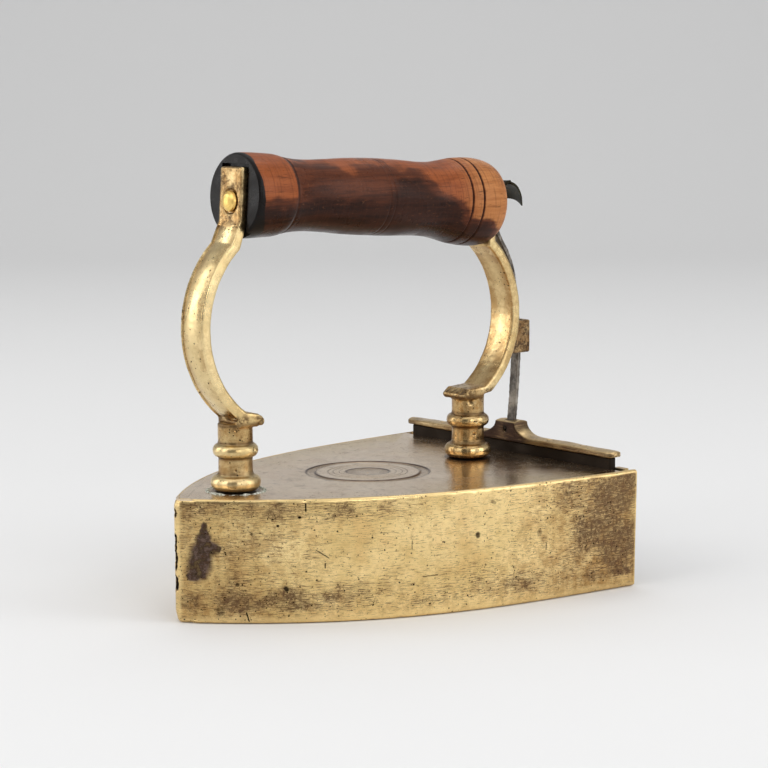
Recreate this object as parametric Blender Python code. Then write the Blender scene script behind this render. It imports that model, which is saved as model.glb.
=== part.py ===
"""Brass box iron (slug iron) with a turned wooden grip and a lifting rear gate.

Units are metres and +Z is up. The sole lies on z = 0, with the origin at its middle.
The nose points along -Y and the gate closes the rear end, at +Y. The gate, its cap, the
lift rod and the thumb leaf slide straight up together. The heating slug lies loose on
two rails inside the box.
"""

import bpy
import bmesh
from math import cos, pi, radians, sin
from mathutils import Matrix, Vector

# Driving dimensions
LENGTH = 0.164            # nose to rear end of the sole
WIDTH = 0.127             # across the rear end, at the top edge
BODY_HEIGHT = 0.044       # sole to top plate
GRIP_LENGTH = 0.1169
GRIP_RADIUS = 0.0166      # at the rear bulb
STRAP_WIDTH = 0.013       # of the two handle brackets
GATE_TRAVEL = 0.026
GAP = 0.0003              # between pieces that touch

# Body
NOSE_Y = -LENGTH / 2
REAR_Y = LENGTH / 2
NOSE_RADIUS = 0.003
NOSE_HALF_ANGLE = radians(48)
REAR_FLARE = radians(4)
FLANK_PULL = 0.073        # how far the flank keeps the direction of the nose
REAR_PULL = 0.063         # how far it keeps the direction of the rear end
SOLE_SCALE = 0.986        # the walls lean in a little towards the sole
WALL = 0.0024
TOP_THICKNESS = 0.004
SOLE_THICKNESS = 0.004
FLANK_STEPS = 22
NOSE_STEPS = 4
TINY = 1e-6               # for comparing places
PAST = 0.010              # how far a cutter runs past what it cuts

# Posts and brackets, measured inwards from each post's axis and upwards from the top plate
FRONT_POST_Y = -0.0558
REAR_POST_Y = 0.0544
POST_STEPS = 32
NECK_RADIUS = 0.0062
NECK_TOP = 0.0246
NECK_SIDE = 0.0056        # where the spur leaves the neck
BASE_RING = (0.0090, 0.0031, 0.0026, 0.0022)     # radius, height, half height, rise
MIDDLE_RING = (0.0082, 0.0146, 0.0023, 0.0018)
STRAP_BASE = 0.0230
STRAP_HEEL = 0.0030       # outer face of the strap, where it leaves the neck
TENON_RADIUS = 0.004
TENON_HEAD_RADIUS = 0.0056
TENON_HEAD_HEIGHT = 0.0018
WASHER_RADIUS = 0.0085
WASHER_THICKNESS = 0.0015
FRONT_ARC_CENTRE = (0.0220, 0.0580)
FRONT_ARC_RADIUS = 0.0406
FRONT_STRAP_THICKNESS = 0.0043
REAR_ARC_CENTRE = (0.0165, 0.0550)
REAR_ARC_RADIUS = 0.0378
REAR_STRAP_THICKNESS = 0.0040
INNER_ARC = (54, 50)      # degrees below and above level where the inner face ends
OUTER_ARC = (52, 48)
FRONT_SPUR_TIP = (0.0090, 0.0252)
REAR_SPUR_TIP = (0.0078, 0.0248)
EAR_THICKNESS = 0.0033    # the straight top of each strap, let into the end of the grip
EAR_HEIGHT = 0.0100       # above the axis of the grip
EAR_INNER_LENGTH = 0.0200
EAR_OUTER_LENGTH = 0.0185
STRAP_BEVEL = 0.0008

# Grip, on a straight axis that falls towards the rear
GRIP_FRONT = Vector((0.0, -0.0549, 0.1484))
GRIP_FALL = radians(3.6)
GRIP_ARCH = 0.0010        # the turned wood has bent up this much in the middle
GRIP_STEPS = 44
ROD_DROP = 0.0020         # the through rod lies a little below the middle of the grip
ROD_RADIUS = 0.0025
EAR_PROUD = 0.0019        # how far the ears stand out of the grip's ends
BUTTON_RADIUS = 0.0037
BUTTON_HEIGHT = 0.0022
REAR_BUTTON_HEIGHT = 0.0012
COUNTERBORE_RADIUS = 0.0046
COUNTERBORE_DEPTH = 0.0008

# Gate
GATE_Y = 0.0772
GATE_THICKNESS = 0.0032
GATE_HALF_WIDTH = 0.0566
GATE_SHIFT = -0.0010      # the worn gate and its cap sit a little to the left
GATE_TOP = 0.048
CAP_HALF_LENGTH = 0.0592
CAP_DEPTH = 0.0074
CAP_THICKNESS = 0.0026    # of its bar, half way to the ends
CAP_TIP_THICKNESS = 0.0022
BOSS_HALF_WIDTH = 0.0048
BOSS_TOP = 0.0563
BOSS_SHOULDER = 0.0006    # flat between the boss and the hollow fillet
FILLET_STRETCH = 1.7      # the fillet is wider than it is high
FILLET_STEPS = 8
TIP_ROUNDING = 0.0008
SOCKET_FLOOR = 0.0012     # above the gate's top, under the foot of the lift rod
GATE_BEVEL = 0.0004
GUIDE_INNER_X = 0.0542
GUIDE_OUTER_X = 0.0592
GROOVE_SIDE = 0.0580
GUIDE_FRONT_Y = 0.0718
GUIDE_SETBACK = 0.0002    # behind the rear end of the walls
GUIDE_LIP_LAP = 0.004     # of the lip on the channel below it
PIN_RADIUS = 0.001
PIN_DEPTH = 0.0060
PIN_SUNK = 0.0002         # below the top of the bar
CAP_PIN_X = (-0.040, -0.022, 0.022, 0.040)

# Lift rod and thumb leaf
LIFT_ROD_WIDTH = 0.004
LIFT_ROD_THICKNESS = 0.0015
COLLAR_BOTTOM = BOSS_TOP + GATE_TRAVEL + GAP
COLLAR_HEIGHT = 0.0130
COLLAR_HALF_WIDTH = 0.0052
COLLAR_FRONT_Y = 0.0700
COLLAR_BACK_Y = 0.0824
COLLAR_BEVEL = 0.0007
COLLAR_HOLE_BACK = 0.0812
COLLAR_HOLE_HALF_WIDTH = 0.0032
LEAF_THICKNESS = 0.0012
LIFT_ROD_TOP_Y = 0.0669
CROSS_PIN_RADIUS = 0.0008
CROSS_PIN_Z = 0.0535
THUMB_RIVET_ENDS = (0.0658, 0.0690)
THUMB_RIVET_Z = 0.1435
PIN_STEPS = 12

# Slug and its rails
RAIL_X = 0.020
RAIL_SIZE = (0.005, 0.104, 0.003)
RAIL_Y = 0.014
RAIL_BEVEL = 0.0006
SLUG_HEIGHT = 0.020
SLUG_BEVEL = 0.0012
SLUG_CLEARANCE = 0.006    # between the slug and the walls
SLUG_REAR_Y = 0.070
HOOK_HOLE_RADIUS = 0.005
HOOK_HOLE_Y = 0.056

BRASS = ((0.52, 0.38, 0.16), 1.0, 0.34)
DARK_BRASS = ((0.33, 0.20, 0.09), 1.0, 0.45)
BUTTON_BRASS = ((0.72, 0.47, 0.13), 1.0, 0.28)
WOOD = ((0.22, 0.075, 0.022), 0.0, 0.38)
IRON = ((0.06, 0.052, 0.045), 0.9, 0.55)
SLUG_IRON = ((0.075, 0.06, 0.05), 0.8, 0.75)


def clear_scene():
    for thing in list(bpy.data.objects):
        bpy.data.objects.remove(thing, do_unlink=True)


def material(name, look):
    colour, metallic, roughness = look
    made = bpy.data.materials.get(name) or bpy.data.materials.new(name)
    made.use_nodes = True
    shader = made.node_tree.nodes["Principled BSDF"]
    shader.inputs["Base Color"].default_value = (*colour, 1.0)
    shader.inputs["Metallic"].default_value = metallic
    shader.inputs["Roughness"].default_value = roughness
    return made


def add_object(name, bm, look, location=(0, 0, 0), rotation=(0, 0, 0), parent=None):
    """Closes a bmesh into a named object with its own material."""
    bmesh.ops.recalc_face_normals(bm, faces=bm.faces)
    mesh = bpy.data.meshes.new(name)
    bm.to_mesh(mesh)
    bm.free()
    mesh.shade_smooth()
    mesh.set_sharp_from_angle(angle=radians(32))
    mesh.materials.append(material(name, look))
    made = bpy.data.objects.new(name, mesh)
    bpy.context.collection.objects.link(made)
    made.location = location
    made.rotation_euler = rotation
    made.parent = parent
    return made


def add_tool(name, bm, location=(0, 0, 0), rotation=(0, 0, 0), parent=None):
    """A solid that only cuts or joins another one."""
    tool = add_object(name, bm, IRON, location, rotation, parent)
    tool.hide_render = True
    tool.display_type = "WIRE"
    return tool


def combine(target, tool, operation):
    step = target.modifiers.new(tool.name, "BOOLEAN")
    step.operation = operation
    step.solver = "EXACT"
    step.object = tool


def bevel_edges(target, width, segments=2, angle=40):
    step = target.modifiers.new("Bevel", "BEVEL")
    step.width = width
    step.segments = segments
    step.limit_method = "ANGLE"
    step.angle_limit = radians(angle)


def prism(points, low, high, axis="Z"):
    """Extrudes a flat outline. Points are (x, y), or (y, z) when the axis is X."""
    bm = bmesh.new()
    place = (lambda a, b, h: (a, b, h)) if axis == "Z" else (lambda a, b, h: (h, a, b))
    base = bm.faces.new([bm.verts.new(place(a, b, low)) for a, b in points])
    grown = bmesh.ops.extrude_face_region(bm, geom=[base])
    lift = Vector(place(0, 0, high - low))
    corners = [item for item in grown["geom"] if isinstance(item, bmesh.types.BMVert)]
    bmesh.ops.translate(bm, verts=corners, vec=lift)
    return bm


def block(low, high):
    bm = bmesh.new()
    bmesh.ops.create_cube(bm, size=1.0)
    low, high = Vector(low), Vector(high)
    bmesh.ops.scale(bm, vec=high - low, verts=bm.verts)
    bmesh.ops.translate(bm, vec=(low + high) / 2, verts=bm.verts)
    return bm


def turned(profile, steps):
    """Turns a (radius, height) profile about Z. A radius of 0 closes an end in a point."""
    bm = bmesh.new()
    rings = []
    for radius, height in profile:
        if radius == 0:
            rings.append([bm.verts.new((0, 0, height))])
            continue
        angles = [2 * pi * i / steps for i in range(steps)]
        rings.append([bm.verts.new((radius * cos(a), radius * sin(a), height)) for a in angles])
    for lower, upper in zip(rings, rings[1:]):
        for i in range(steps):
            j = (i + 1) % steps
            if len(lower) == 1:
                bm.faces.new((lower[0], upper[i], upper[j]))
            elif len(upper) == 1:
                bm.faces.new((lower[i], lower[j], upper[0]))
            else:
                bm.faces.new((lower[i], lower[j], upper[j], upper[i]))
    for ring in (rings[0], rings[-1]):
        if len(ring) > 1:
            bm.faces.new(ring)
    return bm


def rod_between(radius, start, end, steps=20):
    """A round bar from one point to another."""
    start, end = Vector(start), Vector(end)
    bm = turned([(radius, 0), (radius, (end - start).length)], steps)
    turn = (end - start).to_track_quat("Z", "Y").to_matrix().to_4x4()
    bmesh.ops.transform(bm, matrix=Matrix.Translation(start) @ turn, verts=bm.verts)
    return bm


def arc(centre, radius, first, last, steps):
    """Points on a circle, angles in degrees."""
    angles = [radians(first + (last - first) * i / steps) for i in range(steps + 1)]
    return [(centre[0] + radius * cos(a), centre[1] + radius * sin(a)) for a in angles]


def bulge(radius, centre, half_height, rise, steps=6):
    """A rounded ring of a turned profile, from its lower edge to its upper edge."""
    angles = [-pi / 2 + pi * i / steps for i in range(steps + 1)]
    return [(radius - rise + rise * cos(a), centre + half_height * sin(a)) for a in angles]


# Body -------------------------------------------------------------------------------------

def flank(inset=0.0, scale=1.0):
    """Right half of the plan, from the nose to the rear end, moved in by inset."""
    centre = Vector((0, NOSE_Y + NOSE_RADIUS))
    start = centre + Vector((cos(NOSE_HALF_ANGLE), -sin(NOSE_HALF_ANGLE))) * NOSE_RADIUS
    end = Vector((WIDTH / 2, REAR_Y))
    out = Vector((sin(NOSE_HALF_ANGLE), cos(NOSE_HALF_ANGLE)))
    back = Vector((sin(REAR_FLARE), cos(REAR_FLARE)))
    curve = [start, start + out * FLANK_PULL, end - back * REAR_PULL, end]
    points = []
    for i in range(NOSE_STEPS):
        turn = (pi / 2 - NOSE_HALF_ANGLE) * i / NOSE_STEPS
        normal = Vector((sin(turn), -cos(turn)))
        points.append(centre + normal * (NOSE_RADIUS - inset))
    for i in range(FLANK_STEPS + 1):
        t = i / FLANK_STEPS
        weights = ((1 - t) ** 3, 3 * t * (1 - t) ** 2, 3 * t * t * (1 - t), t ** 3)
        slopes = (-(1 - t) ** 2, (1 - t) ** 2 - 2 * t * (1 - t), 2 * t * (1 - t) - t * t, t * t)
        place = sum((w * p for w, p in zip(weights, curve)), Vector((0, 0)))
        along = sum((s * p for s, p in zip(slopes, curve)), Vector((0, 0))).normalized()
        points.append(place - Vector((along.y, -along.x)) * inset)
    return [Vector((p.x * scale, p.y)) for p in points]


def on_one_side(points):
    """Drops what an inset has pushed over the middle line, and ends on that line."""
    first = next(i for i, p in enumerate(points) if p.x > TINY)
    before, after = points[first - 1], points[first]
    if first == 0 or before.x >= 0 and before.y <= after.y:
        return [Vector((0, before.y))] + points[first:]
    share = before.x / (before.x - after.x)
    return [before.lerp(after, share)] + points[first:]


def plan(inset, rear_y, scale=SOLE_SCALE):
    """Closed plan outline, moved in by inset and cut square at rear_y."""
    half = on_one_side(flank(inset, scale))
    kept = [p for p in half if p.y < rear_y - TINY]
    beyond = half[len(kept)] if len(kept) < len(half) else half[-1]
    last = kept[-1]
    share = (rear_y - last.y) / (beyond.y - last.y)
    kept.append(last.lerp(beyond, share))
    left = [Vector((-p.x, p.y)) for p in reversed(kept[1:])]
    return [tuple(p) for p in kept + left]


def body_walls():
    """One band bent round the nose, open at the top, the bottom and the rear."""
    bm = bmesh.new()
    inner_half = on_one_side(flank(WALL, SOLE_SCALE))
    top_half = flank()
    low_half = flank(scale=SOLE_SCALE)
    extra = len(top_half) - len(inner_half)
    inner_half = [inner_half[0]] * extra + inner_half
    bands = []
    outlines = ((top_half, BODY_HEIGHT), (low_half, 0.0), (inner_half, 0.0), (inner_half, BODY_HEIGHT))
    for half, height in outlines:
        left = [(-p.x, p.y) for p in reversed(half[1:])]
        right = [tuple(p) for p in half]
        bands.append([bm.verts.new((x, min(y, REAR_Y), height)) for x, y in left + right])
    for one, two in zip(bands, bands[1:] + bands[:1]):
        for i in range(len(one) - 1):
            bm.faces.new((one[i], one[i + 1], two[i + 1], two[i]))
    bm.faces.new([band[0] for band in bands])
    bm.faces.new([band[-1] for band in bands])
    bmesh.ops.remove_doubles(bm, verts=bm.verts, dist=TINY)
    return add_object("body_walls", bm, BRASS)


def sole_plate():
    bm = prism(plan(WALL + GAP, REAR_Y), 0.0, SOLE_THICKNESS)
    return add_object("sole_plate", bm, BRASS)


def top_plate():
    """Let in flush between the walls, ahead of the gate, with a hole for each post."""
    rear = GATE_Y - GATE_THICKNESS / 2 - GAP
    outline = plan(WALL + GAP, rear)
    plate = add_object("top_plate", prism(outline, BODY_HEIGHT - TOP_THICKNESS, BODY_HEIGHT), BRASS)
    for name, y in (("front", FRONT_POST_Y), ("rear", REAR_POST_Y)):
        ends = [(0, y, BODY_HEIGHT + step) for step in (-PAST, PAST)]
        hole = rod_between(TENON_RADIUS + GAP, *ends, POST_STEPS)
        combine(plate, add_tool("top_plate_hole_" + name, hole), "DIFFERENCE")
    return plate


def gate_guide(name, side):
    """Upright channel at a rear corner. Its rear lip shows behind the gate."""
    low = SOLE_THICKNESS + GAP
    shelf = BODY_HEIGHT - TOP_THICKNESS - GAP
    groove_front = GATE_Y - GATE_THICKNESS / 2 - GAP
    groove_back = GATE_Y + GATE_THICKNESS / 2 + GAP
    rear = REAR_Y - GUIDE_SETBACK
    channel = [(GUIDE_INNER_X, GUIDE_FRONT_Y), (GUIDE_OUTER_X, GUIDE_FRONT_Y), (GUIDE_OUTER_X, rear),
               (GUIDE_INNER_X, rear), (GUIDE_INNER_X, groove_back), (GROOVE_SIDE, groove_back),
               (GROOVE_SIDE, groove_front), (GUIDE_INNER_X, groove_front)]
    lip = [(GUIDE_INNER_X, groove_back), (GUIDE_OUTER_X, groove_back)]
    lip += [(GUIDE_OUTER_X, rear), (GUIDE_INNER_X, rear)]
    lip_low = shelf - GUIDE_LIP_LAP
    guide = add_object(name, prism([(side * x, y) for x, y in channel], low, shelf), BRASS)
    top = add_tool(name + "_lip", prism([(side * x, y) for x, y in lip], lip_low, BODY_HEIGHT))
    combine(guide, top, "UNION")
    return guide


def slug_rail(name, side):
    width, length, height = RAIL_SIZE
    low = (side * RAIL_X - width / 2, RAIL_Y - length / 2, SOLE_THICKNESS + GAP)
    high = (side * RAIL_X + width / 2, RAIL_Y + length / 2, SOLE_THICKNESS + GAP + height)
    rail = add_object(name, block(low, high), IRON)
    bevel_edges(rail, RAIL_BEVEL, 1)
    return rail


def heating_slug():
    """Loose iron block with a hole for the hook that draws it out."""
    bottom = SOLE_THICKNESS + RAIL_SIZE[2] + 2 * GAP
    outline = plan(WALL + SLUG_CLEARANCE, SLUG_REAR_Y)
    slug = add_object("heating_slug", prism(outline, bottom, bottom + SLUG_HEIGHT), SLUG_IRON)
    bevel_edges(slug, SLUG_BEVEL, 1)
    ends = [(0, HOOK_HOLE_Y, bottom + step) for step in (-PAST, SLUG_HEIGHT + PAST)]
    combine(slug, add_tool("hook_hole", rod_between(HOOK_HOLE_RADIUS, *ends, 24)), "DIFFERENCE")
    return slug


# Handle -----------------------------------------------------------------------------------

def post_profile():
    """Turned post: head and tenon below the plate, then two rings and two necks."""
    plate_low = -TOP_THICKNESS - WASHER_THICKNESS - 2 * GAP
    head = plate_low - TENON_HEAD_HEIGHT
    profile = [(TENON_HEAD_RADIUS - 0.0012, head), (TENON_HEAD_RADIUS, head + 0.0008)]
    profile += [(TENON_HEAD_RADIUS, plate_low), (TENON_RADIUS, plate_low), (TENON_RADIUS, GAP)]
    profile += [(0.0074, GAP)] + bulge(*BASE_RING)[1:]
    profile += [(NECK_RADIUS, 0.0068), (NECK_RADIUS - 0.0001, 0.0118)]
    profile += bulge(*MIDDLE_RING)
    profile += [(NECK_RADIUS, 0.0176), (NECK_RADIUS, NECK_TOP - 0.0006), (NECK_RADIUS - 0.0005, NECK_TOP)]
    return profile


def bracket_outline(arc_centre, radius, thickness, ear_out, ear_top, spur_tip):
    """Side view of a bracket: (distance inwards, height), from the spur up and back down."""
    inner = radius - thickness
    inside = arc(arc_centre, inner, 180 + INNER_ARC[0], 180 - INNER_ARC[1], 26)
    outside = arc(arc_centre, radius, 180 - OUTER_ARC[1], 180 + OUTER_ARC[0], 28)
    outer, lean = ear_out[0], sin(GRIP_FALL) * ear_out[1]
    inner_face = outer + EAR_THICKNESS
    ear_inner = [(inner_face - lean * EAR_INNER_LENGTH, ear_top - EAR_INNER_LENGTH), (inner_face, ear_top)]
    ear_outer = [(outer, ear_top), (outer - lean * EAR_OUTER_LENGTH, ear_top - EAR_OUTER_LENGTH)]
    spur_under = [(NECK_SIDE, STRAP_BASE), (spur_tip[0] - 0.0008, spur_tip[1] - 0.0016)]
    spur_over = [spur_tip, (spur_tip[0] - 0.0030, spur_tip[1] + 0.0024)]
    heel = [(-STRAP_HEEL, NECK_TOP), (-STRAP_HEEL, STRAP_BASE)]
    return spur_under + spur_over + inside + ear_inner + ear_outer + outside + heel


def bracket(name, post_y, inwards, outline):
    """Strap and turned post, cast in one piece."""
    points = [(inwards * a, b) for a, b in outline]
    at = (0, post_y, BODY_HEIGHT)
    made = add_object(name, prism(points, -STRAP_WIDTH / 2, STRAP_WIDTH / 2, "X"), BRASS, at)
    bevel_edges(made, STRAP_BEVEL, 2, 50)
    combine(made, add_tool(name + "_post", turned(post_profile(), POST_STEPS), at), "UNION")
    hole = rod_between(ROD_RADIUS + GAP, rod_axis_point(-PAST), rod_axis_point(GRIP_LENGTH + PAST))
    combine(made, add_tool(name + "_hole", hole), "DIFFERENCE")
    return made


def counterbore(target):
    """Shallow seat for the front button in the ear of the front bracket."""
    outside = rod_axis_point(-EAR_PROUD - PAST)
    inside = rod_axis_point(-EAR_PROUD + COUNTERBORE_DEPTH)
    seat = rod_between(COUNTERBORE_RADIUS, outside, inside, 28)
    combine(target, add_tool("button_seat", seat), "DIFFERENCE")


def grip_direction():
    return Vector((0, cos(GRIP_FALL), -sin(GRIP_FALL)))


def grip_point(along, above=0.0):
    """A point at a distance along the grip's axis and above it."""
    return GRIP_FRONT + grip_direction() * along + Vector((0, sin(GRIP_FALL), cos(GRIP_FALL))) * above


def rod_axis_point(along):
    return grip_point(along, -ROD_DROP)


def front_bracket():
    top = grip_point(-EAR_PROUD, EAR_HEIGHT)
    ear_out = (top.y - FRONT_POST_Y, 1)
    outline = bracket_outline(FRONT_ARC_CENTRE, FRONT_ARC_RADIUS, FRONT_STRAP_THICKNESS,
                              ear_out, top.z - BODY_HEIGHT, FRONT_SPUR_TIP)
    made = bracket("front_bracket", FRONT_POST_Y, 1, outline)
    counterbore(made)
    return made


def rear_bracket():
    top = grip_point(GRIP_LENGTH + EAR_PROUD, EAR_HEIGHT)
    ear_out = (REAR_POST_Y - top.y, -1)
    outline = bracket_outline(REAR_ARC_CENTRE, REAR_ARC_RADIUS, REAR_STRAP_THICKNESS,
                              ear_out, top.z - BODY_HEIGHT, REAR_SPUR_TIP)
    return bracket("rear_bracket", REAR_POST_Y, -1, outline)


def post_washer(name, post_y):
    top = BODY_HEIGHT - TOP_THICKNESS - GAP
    low, high = (0, post_y, top - WASHER_THICKNESS), (0, post_y, top)
    washer = add_object(name, rod_between(WASHER_RADIUS, low, high, 28), IRON)
    ends = [(0, post_y, top + step) for step in (-PAST, PAST)]
    hole = rod_between(TENON_RADIUS + GAP, *ends, POST_STEPS)
    combine(washer, add_tool(name + "_hole", hole), "DIFFERENCE")
    return washer


def grip_profile():
    """(radius, distance from the front end) of the turned grip."""
    profile = [(0.0144, 0.0), (0.0149, 0.0004), (0.0151, 0.0014), (0.0151, 0.0050), (0.0149, 0.0100)]
    profile += [(0.0146, 0.0150), (0.0139, 0.0185), (0.0134, 0.0210), (0.0129, 0.0260), (0.0128, 0.0320)]
    profile += [(0.0132, 0.0400), (0.0138, 0.0490), (0.0141, 0.0590), (0.0141, 0.0680), (0.0139, 0.0760)]
    profile += [(0.0137, 0.0830), (0.0140, 0.0890), (0.0150, 0.0950), (0.0160, 0.1000), (0.0165, 0.1050)]
    return profile + [(GRIP_RADIUS, 0.1095), (0.0161, 0.1135), (0.0150, 0.1160), (0.0132, GRIP_LENGTH)]


def ear_slot(name, bracket_y_side):
    """Room in the end of the grip for a bracket's ear."""
    half = STRAP_WIDTH / 2 + GAP
    depth = EAR_THICKNESS - EAR_PROUD + GAP
    bm = block((-half, -GRIP_RADIUS - PAST, -depth), (half, EAR_HEIGHT + GAP, PAST))
    at = grip_point(0.0) if bracket_y_side < 0 else grip_point(GRIP_LENGTH)
    turn = Matrix(((1, 0, 0), (0, 0, bracket_y_side), (0, 1, 0))).to_4x4()
    tilt = Matrix.Rotation(-GRIP_FALL, 4, "X")
    bmesh.ops.transform(bm, matrix=Matrix.Translation(at) @ tilt @ turn, verts=bm.verts)
    return add_tool(name, bm)


def handle_grip():
    """Turned wood, bored for the rod and notched at both ends for the ears."""
    tilt = grip_direction().to_track_quat("Z", "Y").to_euler()
    bm = turned(grip_profile(), GRIP_STEPS)
    for vert in bm.verts:
        share = 2 * vert.co.z / GRIP_LENGTH - 1
        vert.co.y += GRIP_ARCH * (1 - share * share)
    grip = add_object("handle_grip", bm, WOOD, GRIP_FRONT, tilt)
    bore = rod_between(ROD_RADIUS + GAP, rod_axis_point(-PAST), rod_axis_point(GRIP_LENGTH + PAST))
    combine(grip, add_tool("grip_bore", bore), "DIFFERENCE")
    combine(grip, ear_slot("grip_slot_front", -1), "DIFFERENCE")
    combine(grip, ear_slot("grip_slot_rear", 1), "DIFFERENCE")
    return grip


def handle_rod():
    front = rod_axis_point(-EAR_PROUD + COUNTERBORE_DEPTH + 2 * GAP)
    ends = front, rod_axis_point(GRIP_LENGTH + EAR_PROUD - GAP)
    return add_object("handle_rod", rod_between(ROD_RADIUS, *ends), IRON)


def button(name, along, direction, height):
    """Domed head on the outside of an ear."""
    radius = BUTTON_RADIUS
    profile = [(radius * 0.93, 0), (radius, height * 0.22), (radius * 0.93, height * 0.55)]
    profile += [(radius * 0.66, height * 0.86), (radius * 0.34, height * 0.97), (0, height)]
    tilt = (grip_direction() * direction).to_track_quat("Z", "Y").to_euler()
    return add_object(name, turned(profile, 28), BUTTON_BRASS, rod_axis_point(along), tilt)


# Gate -------------------------------------------------------------------------------------

def cap_outline():
    """Front view of the gate's cap: (x, z) of a thin bar with a boss and two hollow fillets."""
    low = GATE_TOP + GAP
    bar = low + CAP_THICKNESS
    fillet = BOSS_TOP - bar
    half = [(BOSS_HALF_WIDTH, BOSS_TOP)]
    fillet_start = BOSS_HALF_WIDTH + BOSS_SHOULDER
    for i in range(FILLET_STEPS + 1):
        turn = pi / 2 * (1 - i / FILLET_STEPS)
        x = fillet_start + fillet * FILLET_STRETCH * (1 - sin(turn))
        half.append((x, bar + fillet * (1 - cos(turn))))
    half.append((CAP_HALF_LENGTH / 2, bar))
    half.append((CAP_HALF_LENGTH - TIP_ROUNDING, low + CAP_TIP_THICKNESS))
    half.append((CAP_HALF_LENGTH, low + CAP_TIP_THICKNESS / 2))
    half.append((CAP_HALF_LENGTH - TIP_ROUNDING, low))
    shifts = [GATE_SHIFT * min(1, 2 * x / CAP_HALF_LENGTH) for x, z in half]
    right = [(shift + x, z) for shift, (x, z) in zip(shifts, half)]
    left = [(shift - x, z) for shift, (x, z) in zip(shifts, half)]
    return right + left[::-1]


def gate_cap(carrier):
    """Brass bar over the gate, with the socket of the lift rod in its boss."""
    bm = prism([(-x, z) for x, z in cap_outline()], -CAP_DEPTH / 2, CAP_DEPTH / 2, "X")
    bmesh.ops.rotate(bm, matrix=Matrix.Rotation(pi / 2, 3, "Z"), verts=bm.verts)
    cap = add_object("gate_cap", bm, DARK_BRASS, (0, GATE_Y, 0), parent=carrier)
    bevel_edges(cap, GATE_BEVEL, 2, 50)
    half_x, half_y = LIFT_ROD_WIDTH / 2 + GAP, LIFT_ROD_THICKNESS / 2 + 2 * GAP
    socket = block((-half_x, -half_y, GATE_TOP + SOCKET_FLOOR), (half_x, half_y, BOSS_TOP + PAST))
    combine(cap, add_tool("cap_socket", socket, (0, GATE_Y, 0), parent=carrier), "DIFFERENCE")
    for i, x in enumerate(CAP_PIN_X):
        ends = [(x, GATE_Y, GATE_TOP + step) for step in (-PAST, PAST)]
        hole = rod_between(PIN_RADIUS + GAP, *ends, PIN_STEPS)
        combine(cap, add_tool("cap_pin_hole_%d" % i, hole, parent=carrier), "DIFFERENCE")
    combine(cap, cross_hole("cap_cross_hole", carrier), "DIFFERENCE")
    return cap


def cross_hole(name, carrier):
    """Hole for the pin that holds the foot of the lift rod in the boss."""
    ends = [(0, GATE_Y + step, CROSS_PIN_Z) for step in (-PAST, PAST)]
    return add_tool(name, rod_between(CROSS_PIN_RADIUS + GAP, *ends, PIN_STEPS), parent=carrier)


def gate_plate(carrier):
    low = (GATE_SHIFT - GATE_HALF_WIDTH, GATE_Y - GATE_THICKNESS / 2, SOLE_THICKNESS + GAP)
    high = (GATE_SHIFT + GATE_HALF_WIDTH, GATE_Y + GATE_THICKNESS / 2, GATE_TOP)
    plate = add_object("gate_plate", block(low, high), IRON, parent=carrier)
    bevel_edges(plate, GATE_BEVEL, 1)
    for i, x in enumerate(CAP_PIN_X):
        ends = [(x, GATE_Y, GATE_TOP + step) for step in (-PIN_DEPTH - GAP, PAST)]
        hole = rod_between(PIN_RADIUS + GAP, *ends, PIN_STEPS)
        combine(plate, add_tool("plate_pin_hole_%d" % i, hole, parent=carrier), "DIFFERENCE")
    return plate


def gate_pins(carrier):
    """Four pins that hold the cap on the gate."""
    top = GATE_TOP + GAP + CAP_THICKNESS - PIN_SUNK
    for number, x in enumerate(CAP_PIN_X, 1):
        bm = rod_between(PIN_RADIUS, (x, GATE_Y, GATE_TOP - PIN_DEPTH), (x, GATE_Y, top), PIN_STEPS)
        add_object("gate_pin_%d" % number, bm, IRON, parent=carrier)


def lift_rod_path():
    """Middle line of the lift rod: (y, z), from its foot in the boss to the leaf."""
    path = [(GATE_Y, 0.0500), (0.0773, 0.0555), (0.0779, 0.0610), (0.0788, 0.0720), (0.0795, 0.0820)]
    path += [(0.0794, 0.0900), (0.0786, 0.0970), (0.0776, 0.1060), (0.0765, 0.1130), (0.0750, 0.1180)]
    path += [(0.0729, 0.1222), (0.0702, 0.1262), (0.0679, 0.1302), (0.0668, 0.1340), (0.0666, 0.1390)]
    return path + [(0.0667, 0.1430), (LIFT_ROD_TOP_Y, 0.1460)]


def strip(path, thickness, half_widths):
    """Flat strip along a (y, z) path, with a half width at each point."""
    bm = bmesh.new()
    sections = []
    for i, (y, z) in enumerate(path):
        before, after = Vector(path[max(i - 1, 0)]), Vector(path[min(i + 1, len(path) - 1)])
        along = (after - before).normalized()
        side = Vector((-along.y, along.x)) * thickness / 2
        near, far = Vector((y, z)) + side, Vector((y, z)) - side
        w = half_widths[i]
        corners = ((w, near), (-w, near), (-w, far), (w, far))
        sections.append([bm.verts.new((x, p.x, p.y)) for x, p in corners])
    for one, two in zip(sections, sections[1:]):
        for i in range(4):
            j = (i + 1) % 4
            bm.faces.new((one[i], one[j], two[j], two[i]))
    bm.faces.new(sections[0])
    bm.faces.new(sections[-1])
    return bm


def lift_rod(carrier):
    path = lift_rod_path()
    bm = strip(path, LIFT_ROD_THICKNESS, [LIFT_ROD_WIDTH / 2] * len(path))
    rod = add_object("lift_rod", bm, IRON, parent=carrier)
    combine(rod, cross_hole("rod_cross_hole", carrier), "DIFFERENCE")
    combine(rod, rivet_hole("rod_rivet_hole", carrier), "DIFFERENCE")
    return rod


def rivet_hole(name, carrier):
    low, high = THUMB_RIVET_ENDS
    bm = rod_between(CROSS_PIN_RADIUS + GAP, (0, low - PAST / 2, THUMB_RIVET_Z),
                     (0, high + PAST / 4, THUMB_RIVET_Z), PIN_STEPS)
    return add_tool(name, bm, parent=carrier)


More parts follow.
